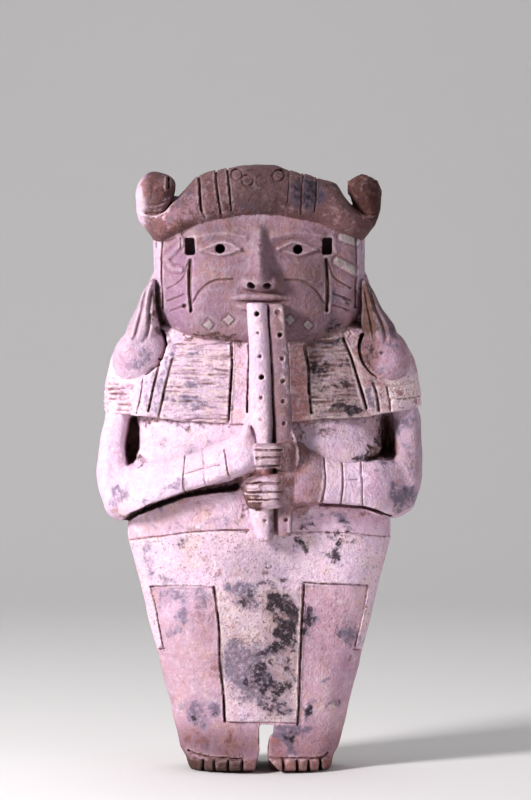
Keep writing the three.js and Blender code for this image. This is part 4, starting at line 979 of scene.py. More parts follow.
def soften(a, passes=1):
    for _ in range(passes):
        for axis in range(3):
            b = a.copy()
            lo = [slice(None)] * 3
            mid = [slice(None)] * 3
            hi = [slice(None)] * 3
            lo[axis], mid[axis], hi[axis] = slice(0, -2), slice(1, -1), slice(2, None)
            b[tuple(mid)] = 0.25 * a[tuple(lo)] + 0.5 * a[tuple(mid)] + 0.25 * a[tuple(hi)]
            a = b
    return a


np.clip(D, -4, 4, out=D)


def box_blur(a, r):
    """Mean over 2r+1 cells along each axis."""
    for axis in range(3):
        n = a.shape[axis]
        pad = [(0, 0)] * 3
        pad[axis] = (r + 1, r)
        c = np.cumsum(np.pad(a, pad, mode="edge"), axis=axis, dtype=np.float64)
        hi = [slice(None)] * 3
        lo = [slice(None)] * 3
        hi[axis], lo[axis] = slice(2 * r + 1, None), slice(0, n)
        a = ((c[tuple(hi)] - c[tuple(lo)]) / (2 * r + 1)).astype(F)
    return a


def sample(field, p):
    """Value of a field at points, in millimetres."""
    q = (p - LO) / STEP
    i = np.clip(np.floor(q).astype(int), 0, COUNT - 2)
    f = q - i
    out = np.zeros(len(p), F)
    for a in (0, 1):
        for b in (0, 1):
            for c in (0, 1):
                w = ((f[:, 0] if a else 1 - f[:, 0]) * (f[:, 1] if b else 1 - f[:, 1])
                     * (f[:, 2] if c else 1 - f[:, 2]))
                out += (w * field[i[:, 0] + a, i[:, 1] + b, i[:, 2] + c]).astype(F)
    return out


NEAR = np.clip(D, -2.2, 2.2)
BROAD = box_blur(box_blur(NEAR, max(1, round(1.0 / STEP))), max(1, round(1.0 / STEP)))
WIDE = box_blur(box_blur(NEAR, max(1, round(2.4 / STEP))), max(1, round(2.4 / STEP)))

grid = vdb.FloatGrid(float(2 * STEP))
grid.copyFromArray(np.clip(D, -2 * STEP, 2 * STEP).astype(F))
points, quads = grid.convertToQuads(0.0)
points = points.astype(np.float64) * STEP + LO
quads = quads.astype(np.int32)


def normals_of(p, faces):
    a, b, c, e = (p[faces[:, k]] for k in range(4))
    n = np.cross(c - a, e - b)
    out = np.zeros_like(p)
    for k in range(4):
        np.add.at(out, faces[:, k], n)
    return out / np.maximum(np.linalg.norm(out, axis=1, keepdims=True), 1e-9)


n = normals_of(points, quads)
centre = points[np.argmax(points[:, 0])]
if n[np.argmax(points[:, 0])][0] < 0:
    quads = quads[:, ::-1]
    n = -n

# Keep the one outer skin: closed pockets inside the clay are dropped.
label = np.arange(len(points))
while True:
    low = label[quads].min(1)
    new = label.copy()
    for k in range(4):
        np.minimum.at(new, quads[:, k], low)
    new = new[new]
    if (new == label).all():
        break
    label = new
names, counts = np.unique(label, return_counts=True)
keep = label == names[np.argmax(counts)]
index = np.cumsum(keep) - 1
quads = index[quads[keep[quads[:, 0]]]].astype(np.int32)
points, n = points[keep], n[keep]

# Hand-worked clay: broad dents, fingered unevenness, grit, and worn, chipped edges.
px, py, pz = points.T
flat_front = smoothstep(-10, 4, py)                       # the back is plainer, but as uneven
edge = np.clip((sample(BROAD, points)) / 0.30, 0, 1)       # how sharp an outer edge is
warp = [0.42 * noise(px, py, pz, 19, 31 + k) + 0.22 * noise(px, py, pz, 7.5, 51 + k) for k in range(3)]
fine = 0.07 * noise(px, py, pz, 2.6, 33) + 0.035 * noise(px, py, pz, 1.25, 34) * (1 - flat_front)
wear = fractal(px, py, pz, 5.0, 35, 3)
chip = np.clip(wear - 0.18, 0, 1) * edge * 1.3
back = 0.25 * flat_front * fractal(px, py, pz, 9.0, 41, 3)
move = fine + back - chip
# soles stay flat
move = move * smoothstep(0.6, 2.5, pz)
points = points + n * move[:, None]
ease = smoothstep(0.6, 6.0, pz)
points[:, 0] += warp[0]
points[:, 1] += warp[1]
points[:, 2] += warp[2] * ease
points[:, 2] = np.maximum(points[:, 2], 0.0)
points[(points[:, 2] < 0.25), 2] = 0.0

mesh = bpy.data.meshes.new("clay_raw")
mesh.vertices.add(len(points))
mesh.vertices.foreach_set("co", points.astype(F).ravel())
mesh.loops.add(quads.size)
mesh.loops.foreach_set("vertex_index", quads.ravel())
mesh.polygons.add(len(quads))
mesh.polygons.foreach_set("loop_start", np.arange(0, quads.size, 4, dtype=np.int32))
mesh.polygons.foreach_set("loop_total", np.full(len(quads), 4, np.int32))
mesh.update(calc_edges=True)
raw = bpy.data.objects.new("clay_raw", mesh)
bpy.context.scene.collection.objects.link(raw)
dec = raw.modifiers.new("thin", "DECIMATE")
dec.ratio = min(1.0, TRIS / (2 * len(quads)))
dg = bpy.context.evaluated_depsgraph_get()
skin = bpy.data.meshes.new_from_object(raw.evaluated_get(dg))
bpy.data.objects.remove(raw)
bpy.data.meshes.remove(mesh)
print("skin", len(skin.vertices), "points", len(skin.polygons), "faces, from", len(points), "points")

# ------------------------------------------------------------------ paint, held at the points

co = np.zeros(len(skin.vertices) * 3, F)
skin.vertices.foreach_get("co", co)
co = co.reshape(-1, 3).astype(np.float64)
x, y, z = co.T
q = np.clip(np.round((co - LO) / STEP).astype(int), 0, COUNT - 1)
nn = np.zeros(len(skin.vertices) * 3, F)
skin.vertices.foreach_get("normal", nn)
nn = nn.reshape(-1, 3)
qi = np.clip(np.round((co - nn * 0.6 - LO) / STEP).astype(int), 0, COUNT - 1)
part = PART[qi[:, 0], qi[:, 1], qi[:, 2]]
here = sample(NEAR, co)
recess = sample(BROAD, co) - here      # positive where clay is missing, as on an edge
hollow = np.clip(-recess / 0.55, 0, 1)
ridge = np.clip(recess / 0.45, 0, 1)
wide = sample(WIDE, co) - here
sunk = np.clip(-wide / 1.1, 0, 1)
front = smoothstep(0.1, -0.35, nn[:, 1])


gu, gv = x / 0.45 + 259, 772 - z / 0.45        # the same places on the drawing sheet
# Stains creep: their outlines wander at three sizes.
su = gu + 6.0 * noise(x, y, z, 7.0, 121) + 3.6 * noise(x, y, z, 2.8, 122) + 2.0 * noise(x, y, z, 1.2, 123)
sv = gv + 6.0 * noise(x, y, z, 7.0, 124) + 3.6 * noise(x, y, z, 2.8, 125) + 2.0 * noise(x, y, z, 1.2, 126)


def spot(u, v, ru, rv, turn=0.0, soft=0.5):
    """A soft oval on the drawing sheet, 1 in its middle."""
    c, s_ = math.cos(math.radians(turn)), math.sin(math.radians(turn))
    p, q_ = (su - u) * c + (sv - v) * s_, -(su - u) * s_ + (sv - v) * c
    return smoothstep(1 + soft, 1 - soft, np.hypot(p / ru, q_ / rv))


def pool(u, v, ru, rv):
    """A wide, very soft oval."""
    return smoothstep(1.6, 0.3, np.hypot((gu - u) / ru, (gv - v) / rv))


def area(*uv, soft=1.2):
    """A soft-edged outline on the drawing sheet, 1 inside."""
    d = polygon(GG(*uv), x.astype(F), z.astype(F))
    return smoothstep(soft, -soft, d)


def streak(points, width, soft=1.0):
    d = line_distance(GG(*points), ((su - 259) * 0.45).astype(F), ((772 - sv) * 0.45).astype(F))
    return smoothstep(width / 2 + soft, width / 2 - soft, d)


def most(*masks):
    out = masks[0]
    for m in masks[1:]:
        out = np.maximum(out, m)
    return out


big = fractal(x, y, z, 26, 101, 4, 0.55)
mid = fractal(x, y, z, 9, 105, 4, 0.6)
on = {k: (part == k) for k in range(1, 10)}
trunk, capes, head, turbans = on[TRUNK_ID], on[CAPE_ID], on[HEAD_ID], on[TURBAN_ID]
facing = smoothstep(0.35, -0.25, nn[:, 1])              # 1 in front, 0 on the back

# how deep the drawn lines are here, so that the lines can be painted brown with dirt and shade, and the deepest
# near-black, as painted shadow
ux = x - (0.42 * noise(x, y, z, 19, 31) + 0.22 * noise(x, y, z, 7.5, 51))
uz = z - (0.42 * noise(x, y, z, 19, 33) + 0.22 * noise(x, y, z, 7.5, 53)) * smoothstep(0.6, 6.0, z)


def sheet(values):
    """A value of the drawing at the points."""
    i = np.clip((ux - LO[0]) / STEP, 0, COUNT[0] - 1.001)
    k = np.clip((uz - LO[2]) / STEP, 0, COUNT[2] - 1.001)
    i0, k0 = i.astype(int), k.astype(int)
    fi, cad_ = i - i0, k - k0
    return (values[i0, k0] * (1 - fi) * (1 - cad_) + values[i0 + 1, k0] * fi * (1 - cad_)
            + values[i0, k0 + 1] * (1 - fi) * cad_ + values[i0 + 1, k0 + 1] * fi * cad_)


cuts = np.zeros(len(x))
for drawing, k in ((body, TRUNK_ID), (cape, CAPE_ID), (face, HEAD_ID), (turban, TURBAN_ID), (roll, ROLL_ID), (wrist, ARM_ID),
                   (flute, FLUTE_ID), (grip, HAND_ID)):
    cuts = np.where(on[k], sheet(drawing.cut), cuts)
cuts = cuts * smoothstep(2.0, -6.0, y)
line = smoothstep(0.25, 1.1, cuts) * (1 - 0.30 * on[HAND_ID])
deep = smoothstep(1.25, 2.1, cuts)
# the arm pockets, whose insides are painted dark brown shade
pocket = most(area(*[(p_ / 0.45 + 259, 772 - q_ / 0.45) for p_, q_ in SLOT_L], soft=0.9),
              area(*[(p_ / 0.45 + 259, 772 - q_ / 0.45) for p_, q_ in SLOT_R], soft=0.9)) * smoothstep(-17.5, -13.5, y) * smoothstep(8, 6, y)
# painted shade in the gap under the arm: it loses its slip and is painted darker and brown, and below the shade line
# near-black
crevice = smoothstep(1.2, -0.4, polygon(CREVICE, ux.astype(F), uz.astype(F)))
under = crevice * smoothstep(-7, -11, ux) * (nn[:, 2] > -0.5) * (nn[:, 1] < 0.3)
shade_line = np.interp(ux, [-62, -48, -33, -18, -9], [112.4, 119.2, 124.8, 127.6, 129.0])
inside = under * smoothstep(1.6, 0.4, uz - shade_line)
deep = most(deep * (1 - pocket), inside)

furrow = np.clip(sheet(0.9 * rib_l / 0.56 + 1.25 * rib_r / 0.78 + 0.8 * rib_s / 0.60), 0, 1.3) * capes
legs = area((150, 586), (214.6, 585), (221.9, 675), (225, 721), (298.4, 724), (300.4, 650), (302.8, 583), (367.4, 586),
            (360, 629), (355.5, 648), (362, 651), (420, 652), (420, 800), (90, 800), (90, 652), (157, 650.6), (162.4, 647), (159.6, 631)) * trunk
skirt = trunk * smoothstep(0, 0.8, -polygon(BELT_L + BELT_R + GG((420, 820), (100, 820)), x.astype(F), z.astype(F))) * (1 - legs)
apron = skirt * (np.abs(gu - 260) < 46) * (gv > 588)
belly = trunk * (z > 100) * (1 - skirt) * (z < 128)
chest = trunk * (z >= 128)
feet = trunk * smoothstep(26, 10, z)
right = smoothstep(-6, 12, x)                            # the figure's left side is painted browner and darker: partly its own worn colour, partly painted shade for the side turned from the light
palm = area((277, 440), (300, 432), (322, 446), (322, 508), (290, 512), (276, 500), soft=1.0) * (on[HAND_ID] | on[ARM_ID])

# the shaded brink under the right forearm
brink = smoothstep(-1.2, 0.6, gv - np.interp(gu, [150, 171, 186, 209, 230, 243, 255, 266], [503.5, 495.5, 489.0, 485.0, 480.0, 475.2, 470.2, 467.6]))
brink = brink * (on[ARM_ID] | on[HAND_ID]) * (gu < 262) * (gu > 146) * smoothstep(0.4, -0.2, nn[:, 2]) * smoothstep(512, 508, gv)

# painted highlight on the upper rims of the toes, and painted shade over the toes, mostly on the figure's right foot
toe_rim_highlight = most(streak([(191, 755.8), (200, 758.2), (215, 760.0), (241, 760.8)], 0.6, 0.6),
            streak([(268.5, 758.4), (285, 758.8), (300, 759.2), (316, 758.6)], 1.4, 0.9)) * feet * facing
toe_shade = smoothstep(7.6, 5.0, z) * (1 - 0.93 * right) * (1 - 0.62 * smoothstep(240.5, 244.5, gu))

# the pale slip; painted highlights and painted shade are worked into it where noted
slip = np.full(len(x), 0.42)
slip = np.where(trunk, 0.56, slip)
slip += 0.10 * pool(180, 604, 30, 22) * legs + 0.12 * pool(350, 520, 46, 14) * belly
slip += 0.36 * skirt - 0.16 * apron + 0.10 * belly + 0.40 * chest * (1 - 0.6 * right) - 0.02 * legs - 0.40 * feet
slip = np.where(on[ARM_ID], 1.12 - 0.36 * right, slip)
slip = np.where(on[HAND_ID], 0.86 - 0.30 * smoothstep(2, 12, x), slip)
slip = slip - palm * np.clip(slip - 0.40, 0, 1)
# painted highlights: a pale line along the top edge of the palm and along the rim of the upper fist
slip += 0.5 * streak([(301.5, 438), (310, 446.4), (321.6, 458)], 0.5, 0.5) * palm
slip += 0.32 * streak([(293.7, 438), (296.5, 447), (297.0, 455), (295.8, 463), (292.6, 470.6)], 0.6, 0.5) * (on[HAND_ID] | on[FLUTE_ID])
# painted light and shade on the flutes: the first is pale on its left and has less slip towards its right side; the
# second has little slip, with a painted highlight along its outer ridge
slip = np.where(on[FLUTE_ID], np.where(gu < np.interp(gv, [300, 335, 376, 434, 540], [267.4, 269, 271.2, 274, 275]), 1.0 - 0.5 * smoothstep(266, 272, gu), 0.36), slip)
slip = np.where(on[FLUTE_ID], slip + 0.5 * streak([(284, 304), (284.6, 318), (286.2, 335), (289, 376), (291, 405), (292, 436)], 0.9, 0.5), slip)
slip = np.where(capes, 0.80 - 0.26 * right + 0.40 * area((385, 380), (425, 372), (425, 415), (388, 415), soft=1.5), slip)
slip = np.where(on[PENDANT_ID], 0.74 - 0.30 * right, slip)
slip = np.where(head, 0.40 - 0.10 * right + 0.40 * smoothstep(42.8, 44.5, np.abs(x)) * (z > 216), slip)
slip = np.where(turbans, 0.08, slip)
slip = np.where(on[ROLL_ID] | (turbans & (gu < 158)), np.where(x < 0, 0.10 + 0.75 * smoothstep(151, 138, gu), 0.02), slip)
# painted highlight: the raised lips beside the curls of the rolls made pale
lip_highlight = most(streak([(150.6, 207.2), (157.7, 206.4), (164.6, 203.6), (167.6, 201.8)], 0.5, 0.5), streak([(142.0, 213.2), (147.4, 215.4), (153.6, 216.2), (160.7, 214.8), (168.0, 209.4), (172.4, 203.4)], 0.6, 0.5),
            0.6 * streak([(361.4, 215.0), (366.3, 217.4), (370.7, 217.4), (375.6, 214.6)], 0.5, 0.5), 0.8 * streak([(164.9, 177.0), (164.6, 183), (164.3, 188.6), (165.8, 190.6)], 0.5, 0.5)) * (on[ROLL_ID] | turbans)
slip = slip + 0.6 * lip_highlight
# painted highlight along the lit side of the bracelet line on the figure's left wrist
slip += 0.35 * streak([(321.2, 457), (322.4, 472), (321.6, 487), (318.6, 500)], 0.5, 0.5) * (on[ARM_ID] | on[HAND_ID])
slip += 0.22 * most(spot(195, 470, 10, 12), spot(214, 466, 9, 11), spot(332, 478, 9, 20), spot(351, 478, 9, 22)) * on[ARM_ID]
# raised edges a little paler: worn slip and painted highlight
slip += 0.10 * ridge - 0.15 * line + 0.14 * big + 0.08 * mid
# less slip in the painted shade over the toes, in the gap under the arm and along the brink, more on the painted toe
# highlights
slip = slip * (1 - 0.9 * toe_shade * trunk) + 0.45 * toe_rim_highlight
slip *= (0.30 + 0.70 * facing) * (1 - 0.8 * crevice) * (1 - 0.7 * brink)

# cream rather than lilac
cream = np.clip(0.20 * skirt + 0.35 * apron + 0.62 * capes * right + 0.05 * capes + 0.10 * chest * right + 0.5 * mid, 0, 1)
# salmon rather than lilac
salmon = np.clip(0.40 * belly + 0.55 * legs + 0.35 * feet + 0.70 * on[HAND_ID] + 0.45 * mid + 0.25 * big - 0.40 * pool(180, 604, 30, 22) - 0.35 * pool(350, 520, 46, 14) - 0.35 * pool(384, 482, 30, 20), 0, 1)

# blue-grey stains
stain = most(
    0.95 * streak([(228, 586), (240, 588), (252, 590)], 3.2, 1.6), 0.95 * spot(249, 602, 8, 9), 0.75 * spot(244, 596, 12, 9), 0.8 * spot(231, 588, 7, 3, 10),
    0.85 * spot(232, 656, 9, 14), 0.7 * spot(238, 640, 8, 8), 0.9 * spot(252, 662, 15, 9, -25), 0.9 * spot(258, 676, 12, 13, -25),
    0.85 * spot(254, 690, 9, 12), 0.75 * spot(244, 694, 10, 9), 0.7 * spot(268, 652, 14, 7, -30), 0.55 * spot(276, 706, 14, 5, -20),
    0.62 * spot(174, 596, 20, 7), 0.68 * spot(183, 616, 7, 9), 0.6 * spot(178, 630, 10, 4), 0.5 * spot(205, 600, 9, 12), 0.4 * spot(157, 600, 5, 14),
    0.8 * spot(192, 714, 9, 13, 15), 0.6 * spot(200, 725, 9, 6), 0.8 * spot(215, 709, 9, 6), 0.5 * spot(184, 706, 8, 5), 0.9 * spot(307, 712, 8, 5, -40),
    0.6 * spot(313, 706, 6, 3, -30), 0.45 * spot(207, 747, 4, 6), 0.95 * area((273, 725), (303.4, 725), (301.3, 730.6), (293.7, 738.8), (292.7, 746), (296.4, 754.4), (289.1, 753.6), (287, 747), (279.9, 739.8), (277.3, 737.8), (271, 736.5), (271, 730), soft=0.8),
    0.8 * spot(349, 634, 9, 7, 25), 0.6 * spot(356, 641, 7, 5), 0.55 * spot(308, 622, 6, 16), 0.35 * spot(300, 650, 5, 20), 0.6 * spot(324, 683, 7, 3, -30),
    0.75 * spot(334, 708, 3.2, 6, -35), 0.8 * spot(121, 494, 8, 9), 0.5 * spot(116, 503, 5, 6), 0.62 * spot(176, 485, 11, 5, -25), 0.45 * spot(155, 498, 10, 3, -25), 0.42 * streak([(152, 498.5), (170, 491), (184, 484.5)], 5.0, 3.0) * on[ARM_ID],
    0.95 * spot(398, 497, 10, 7, -10), 0.85 * spot(406, 490, 9, 5, -15), 0.8 * spot(391, 490, 5, 6), 0.75 * spot(401, 505, 5, 5), 0.7 * spot(404, 422, 9, 5),
    0.45 * spot(396, 425, 6, 3), 0.55 * spot(404, 448, 3.5, 14, -12), 0.45 * spot(411, 462, 3, 12, -10), 0.75 * spot(384, 464, 6, 2.6, 15), 0.5 * spot(370, 470, 4, 3, 30),
    0.85 * spot(343, 519, 9, 5, 25), 0.8 * spot(334, 515, 6, 4), 0.55 * spot(350, 527, 6, 4), 0.6 * spot(309, 525, 9, 5), 0.45 * spot(322, 517, 7, 3),
    0.55 * spot(160, 510, 6, 4), 0.5 * spot(208, 519, 10, 3), 0.4 * spot(180, 524, 14, 4), 0.55 * spot(153, 530, 7, 4), 0.35 * spot(228, 516, 9, 6),
    0.55 * spot(145, 355, 9, 9, -30), 0.45 * spot(132, 362, 6, 6), 0.5 * spot(137, 342, 9, 4, -30), 0.65 * spot(195, 354, 5, 2.4), 0.85 * spot(194, 384, 10, 2.8, 5),
    0.75 * spot(194, 399, 8, 4, 5), 0.65 * spot(200, 404, 12, 3), 0.4 * spot(200, 414, 7, 2.6), 0.55 * streak([(170, 345), (166, 370), (158, 396), (155, 414)], 3.0, 1.8) * (gu < 176),
    0.60 * streak([(156, 372), (150, 392), (146, 410)], 2.6, 1.4), 0.55 * spot(146, 560, 4, 22), 0.5 * spot(160, 577, 12, 5), 0.4 * spot(148, 592, 3, 12),
    0.6 * spot(386, 335, 9, 7, 35), 0.5 * spot(393, 346, 6, 6), 0.6 * spot(378, 373, 6, 4, 30), 0.55 * spot(340, 322, 10, 8), 0.45 * spot(331, 298, 6, 14),
    0.6 * spot(275, 308, 4, 6), 0.3 * spot(262, 372, 4, 8), 0.75 * streak([(369, 392), (373, 406)], 3.4, 1.2), 0.35 * spot(381, 400, 3.5, 9),
    0.5 * spot(178, 202, 8, 4), 0.45 * spot(190, 196, 8, 5), 0.5 * spot(170, 220, 6, 3), 0.3 * spot(200, 445, 12, 6), 0.45 * spot(163, 441, 6, 5), 0.35 * spot(246, 207, 14, 5),
    0.55 * spot(331, 344, 8, 4), 0.4 * spot(392, 515, 6, 3, 20), 0.35 * spot(345, 536, 24, 3), 0.4 * spot(308, 515, 8, 3),
    0.85 * spot(236, 660, 13, 14), 0.9 * spot(252, 684, 15, 20, -15), 0.7 * spot(268, 650, 18, 9, -32), 0.6 * spot(242, 597, 15, 12, 25), 0.6 * spot(276, 707, 17, 6),
    0.5 * spot(308, 618, 7, 20), 0.32 * spot(172, 596, 24, 11), 0.32 * spot(181, 620, 12, 14), 0.55 * spot(196, 716, 13, 14), 0.5 * spot(215, 710, 12, 8),
)
stain = most(stain, 0.62 * (streak([(168, 352), (164, 372), (157, 398), (153, 415)], 3.6, 1.2) * (gu < 177)), 0.58 * streak([(155, 376), (149, 396), (145, 412)], 3.4, 1.2),
             0.50 * spot(192, 386, 12, 4, 4), 0.5 * spot(190, 404, 14, 6), 0.45 * spot(195, 353, 9, 4), 0.45 * spot(396, 424, 16, 8), 0.55 * spot(404, 494, 14, 12, -20),
             0.85 * spot(309, 193, 13, 15), 0.55 * spot(296, 190, 8, 12), 0.7 * spot(193, 384.5, 13, 3.4, 4), 0.75 * spot(194, 399, 9, 4.4, 5), 0.6 * spot(203, 404, 14, 3),
             0.5 * spot(170, 400, 8, 5), 0.55 * spot(169, 415, 5, 3), 0.8 * spot(226, 662, 8, 15), 0.75 * spot(243, 655, 16, 8, -25), 0.8 * spot(300, 727, 7, 5))
stain = stain * facing * (1 - 0.6 * (head & (np.abs(x) < 28)))
# nearly black flecks: old paint and soot, and some painted shadow
dark = most(
    0.95 * spot(276, 596, 13, 5), 0.95 * spot(267, 602, 5, 6), 0.8 * spot(283, 604, 12, 6), 0.9 * spot(292, 606, 5, 8), 0.85 * spot(288, 618, 7, 9, 15),
    0.95 * spot(284, 630, 8, 7, -20), 0.7 * spot(294, 640, 4, 9), 0.85 * spot(274, 643, 9, 5, -30), 0.6 * spot(261, 652, 9, 5, -25), 0.6 * spot(262, 672, 6, 9),
    0.7 * spot(270, 676, 5, 4), 0.85 * spot(280, 688, 5, 5), 0.75 * spot(286, 682, 4, 4), 0.7 * spot(276, 696, 6, 4), 0.6 * spot(266, 704, 9, 5), 0.55 * spot(280, 705, 9, 4),
    0.6 * spot(257, 690, 6, 7), 0.55 * spot(290, 668, 3.5, 9), 0.5 * spot(271, 664, 3, 3), 0.55 * spot(248, 594, 5, 6), 0.5 * spot(270, 585, 16, 3), 0.45 * spot(282, 580, 4, 4),
    0.95 * spot(335, 552, 4.5, 8), 0.8 * spot(328, 555, 5, 2.5, -40), 0.9 * spot(338, 545, 4, 4), 0.8 * spot(330, 538, 3.4, 3), 0.85 * spot(303, 541, 3.4, 4.5), 0.6 * spot(300, 547, 2.6, 3),
    0.55 * spot(349, 540, 4, 2), 0.5 * spot(345, 531, 6, 2), 0.55 * spot(309, 529, 12, 2.6), 0.4 * spot(182, 545, 5, 4), 0.35 * spot(188, 541, 4, 2),
    0.62 * spot(309, 190, 8, 11), 0.5 * spot(305, 200, 6, 7), 0.35 * spot(297, 188, 6, 8), 0.35 * spot(320, 196, 6, 8), 0.35 * spot(330, 184, 8, 4),
    0.85 * spot(312, 366, 7, 5), 0.8 * spot(318, 372, 5, 5), 0.75 * spot(328, 346, 6, 3.2), 0.6 * spot(338, 344, 6, 3), 0.5 * spot(321, 340, 8, 2.4),
    0.8 * streak([(334, 407), (342, 412), (352, 413), (362, 411)], 2.4, 1.0), 0.75 * spot(346, 408, 8, 2.2), 0.55 * spot(346, 386, 4, 3), 0.4 * spot(336, 390, 6, 3),
    0.4 * spot(336, 325, 7, 6), 0.45 * spot(343, 300, 8, 2, 20), 0.4 * spot(346, 309, 7, 2, 20), 0.5 * spot(342, 633, 3, 3), 0.45 * spot(336, 705, 2.4, 3),
    0.6 * spot(311, 612, 3, 8), 0.5 * spot(306, 634, 3, 8), 0.35 * spot(300, 520, 5, 5), 0.35 * spot(372, 352, 8, 12), 0.75 * streak([(362, 632), (357, 626), (350, 623), (334, 622.4), (322, 624)], 0.5, 0.7),
    0.85 * spot(274, 601, 13, 9), 0.9 * spot(290, 609, 9, 8), 0.95 * spot(286, 627, 10, 13, 12), 0.7 * spot(268, 648, 13, 7, -32), 0.6 * spot(256, 682, 9, 15, -15),
    0.6 * spot(276, 686, 11, 9), 0.65 * spot(277, 707, 15, 5), 0.5 * spot(243, 600, 6, 8, 25), 0.45 * spot(291, 736, 9, 7, -25), 0.55 * spot(307, 620, 4, 14), 0.55 * spot(306, 712, 7, 5, -40),
    0.75 * spot(318, 370, 9, 6), 0.7 * spot(330, 348, 9, 3.4), 0.6 * spot(344, 362, 6, 5), 0.6 * spot(348, 387, 6, 5), 0.7 * spot(352, 411, 16, 4), 0.5 * spot(318, 339.5, 10, 2.2), 0.45 * spot(320, 385, 14, 2.4),
    0.40 * spot(336, 400, 10, 3), 0.55 * spot(311, 336, 3, 10) * (gu > 306),
    0.6 * spot(214, 712, 5, 3), 0.5 * spot(193, 720, 4, 5), 0.35 * spot(401, 490, 4, 3), 0.3 * spot(343, 521, 5, 3), 0.5 * spot(230, 390, 2, 20) * 0.6,
)
dark = dark * facing * (1 - 0.7 * (head & (np.abs(x) < 28)))
# painted shadow: dark flecks down the rim of the pocket on the figure's left, and a dark band at the foot of the first
# flute
dark = most(dark, 0.92 * streak([(385, 420), (381.5, 431), (380, 442), (375, 450), (366, 455.6), (356, 458)], 2.6, 2.6) * chest * (0.5 + 0.5 * facing), 0.5 * spot(269, 541, 8, 2.4) * on[FLUTE_ID])
# iron red: bare or rubbed clay, and red-brown painted shade along the brink under the forearm and on the right side of
# the first flute; on the inner half of the drop on the figure's left it is partly its own colour, partly painted shade
red = most(
    0.95 * on[ROLL_ID] * (x > 0), 0.55 * on[ROLL_ID] * (x < 0) * spot(155, 188, 13, 16), 0.45 * spot(160, 226, 16, 9) * turbans, 0.5 * spot(366, 224, 9, 8) * turbans,
    0.66 * area((289.5, 335), (304, 335), (310, 425), (290, 425), soft=1.2) * (capes | trunk),
    0.66 * area((296, 441), (303, 440), (311, 449), (307, 463), (298, 476), (286, 484), (280, 480), (292, 468), soft=2.0) * palm, 0.36 * palm, 0.55 * area((292, 499), (322, 496), (322, 508), (292, 511), soft=1.5) * palm,
    0.85 * brink, 0.25 * on[FLUTE_ID] * smoothstep(268, 273, gu),
    0.75 * spot(287, 478, 6, 4) * palm, 0.95 * area((249, 468.6), (262, 466.4), (278, 466), (278, 475), (262, 476), (249, 479), soft=0.4) * on[FLUTE_ID], 0.8 * spot(288, 477, 7, 4.5), 0.45 * on[HAND_ID] * (z > 136) * smoothstep(2, 9, x),
    0.72 * streak([(290, 506), (305, 504), (335, 504), (362, 507), (385, 513)], 1.8, 1.2), 0.6 * spot(296, 512, 10, 6) * belly,
    0.60 * spot(362, 352, 6, 18, -12) * (on[PENDANT_ID] | capes) * (gv > 330), 0.45 * spot(371, 352, 6, 14) * on[PENDANT_ID] * (gv > 333), 0.4 * spot(374, 360, 6, 9),
    0.7 * streak([(362, 373), (370, 381), (384, 384)], 2.2, 1.2), 0.9 * spot(309, 349, 4.5, 4), 0.95 * spot(312, 359, 6, 2.6), 0.75 * spot(329, 370, 5, 2), 0.6 * spot(325, 353, 7, 1.6),
    0.5 * spot(335, 390, 9, 3), 0.6 * spot(219, 571, 3, 6), 0.4 * spot(229, 566, 4, 3), 0.45 * spot(205, 557, 4, 4), 0.75 * spot(279, 616, 3, 4), 0.7 * spot(295, 624, 3.2, 4),
    0.55 * spot(232, 742, 12, 11), 0.45 * spot(196, 741, 12, 8), 0.6 * spot(276, 746, 7, 8), 1.15 * smoothstep(7.2, 5.2, z) * trunk * (1 - 0.5 * toe_rim_highlight), 0.8 * spot(399, 393, 6, 4), 0.7 * spot(413, 399, 5, 3.4),
    0.5 * pool(368, 352, 9, 26) * (on[PENDANT_ID] | capes) * (gv > 330), 0.30 * pool(230, 227, 46, 12) * head, 0.28 * pool(404, 470, 16, 60) * on[ARM_ID],
    0.45 * spot(399, 508, 12, 5, -20), 0.40 * spot(115, 512, 8, 6), 0.38 * spot(204, 620, 14, 22), 0.42 * spot(212, 670, 8, 20), 0.30 * spot(332, 608, 20, 8), 0.30 * spot(330, 650, 16, 20),
    0.55 * spot(120, 521, 9, 5), 0.6 * spot(265, 472, 12, 2.4), 0.45 * spot(249, 497, 5, 12) * trunk, 0.35 * spot(190, 527, 30, 3), 0.42 * spot(198, 505, 26, 8) * trunk,
)
red = red * (0.35 + 0.65 * facing)
# violet wash, strongest on one cheek
violet = most(0.85 * spot(180, 262, 17, 18, soft=0.7), 0.85 * spot(180, 300, 16, 26, soft=0.7), 0.4 * spot(213, 308, 14, 14, soft=0.7)) * head
violet = most(violet, 0.5 * spot(128, 360, 14, 14, soft=0.7) * on[PENDANT_ID], 0.5 * spot(396, 362, 12, 16, soft=0.7) * on[PENDANT_ID], 0.45 * spot(120, 395, 16, 12, soft=0.7) * capes,
              0.5 * spot(342, 665, 14, 40, soft=0.8) * legs, 0.45 * spot(180, 604, 26, 18, soft=0.8) * legs, 0.40 * spot(350, 520, 42, 11, soft=0.8) * belly, 0.45 * spot(384, 482, 30, 18, soft=0.8) * on[ARM_ID], 0.3 * spot(322, 610, 26, 24, soft=0.8) * legs, 0.35 * spot(120, 460, 18, 30, soft=0.8) * on[ARM_ID]) * facing
# dark wash on the turban
wash = most(1.0 * turbans, 0.80 * on[ROLL_ID]).astype(float)
wash = wash * np.clip(0.95 - 0.55 * spot(176, 212, 24, 15, soft=0.7) - 0.35 * spot(210, 195, 10, 24, soft=0.7) - 0.25 * spot(238, 190, 8, 22, soft=0.7)
                      - 0.30 * spot(335, 205, 10, 14, soft=0.7) + 0.30 * mid, 0, 1)
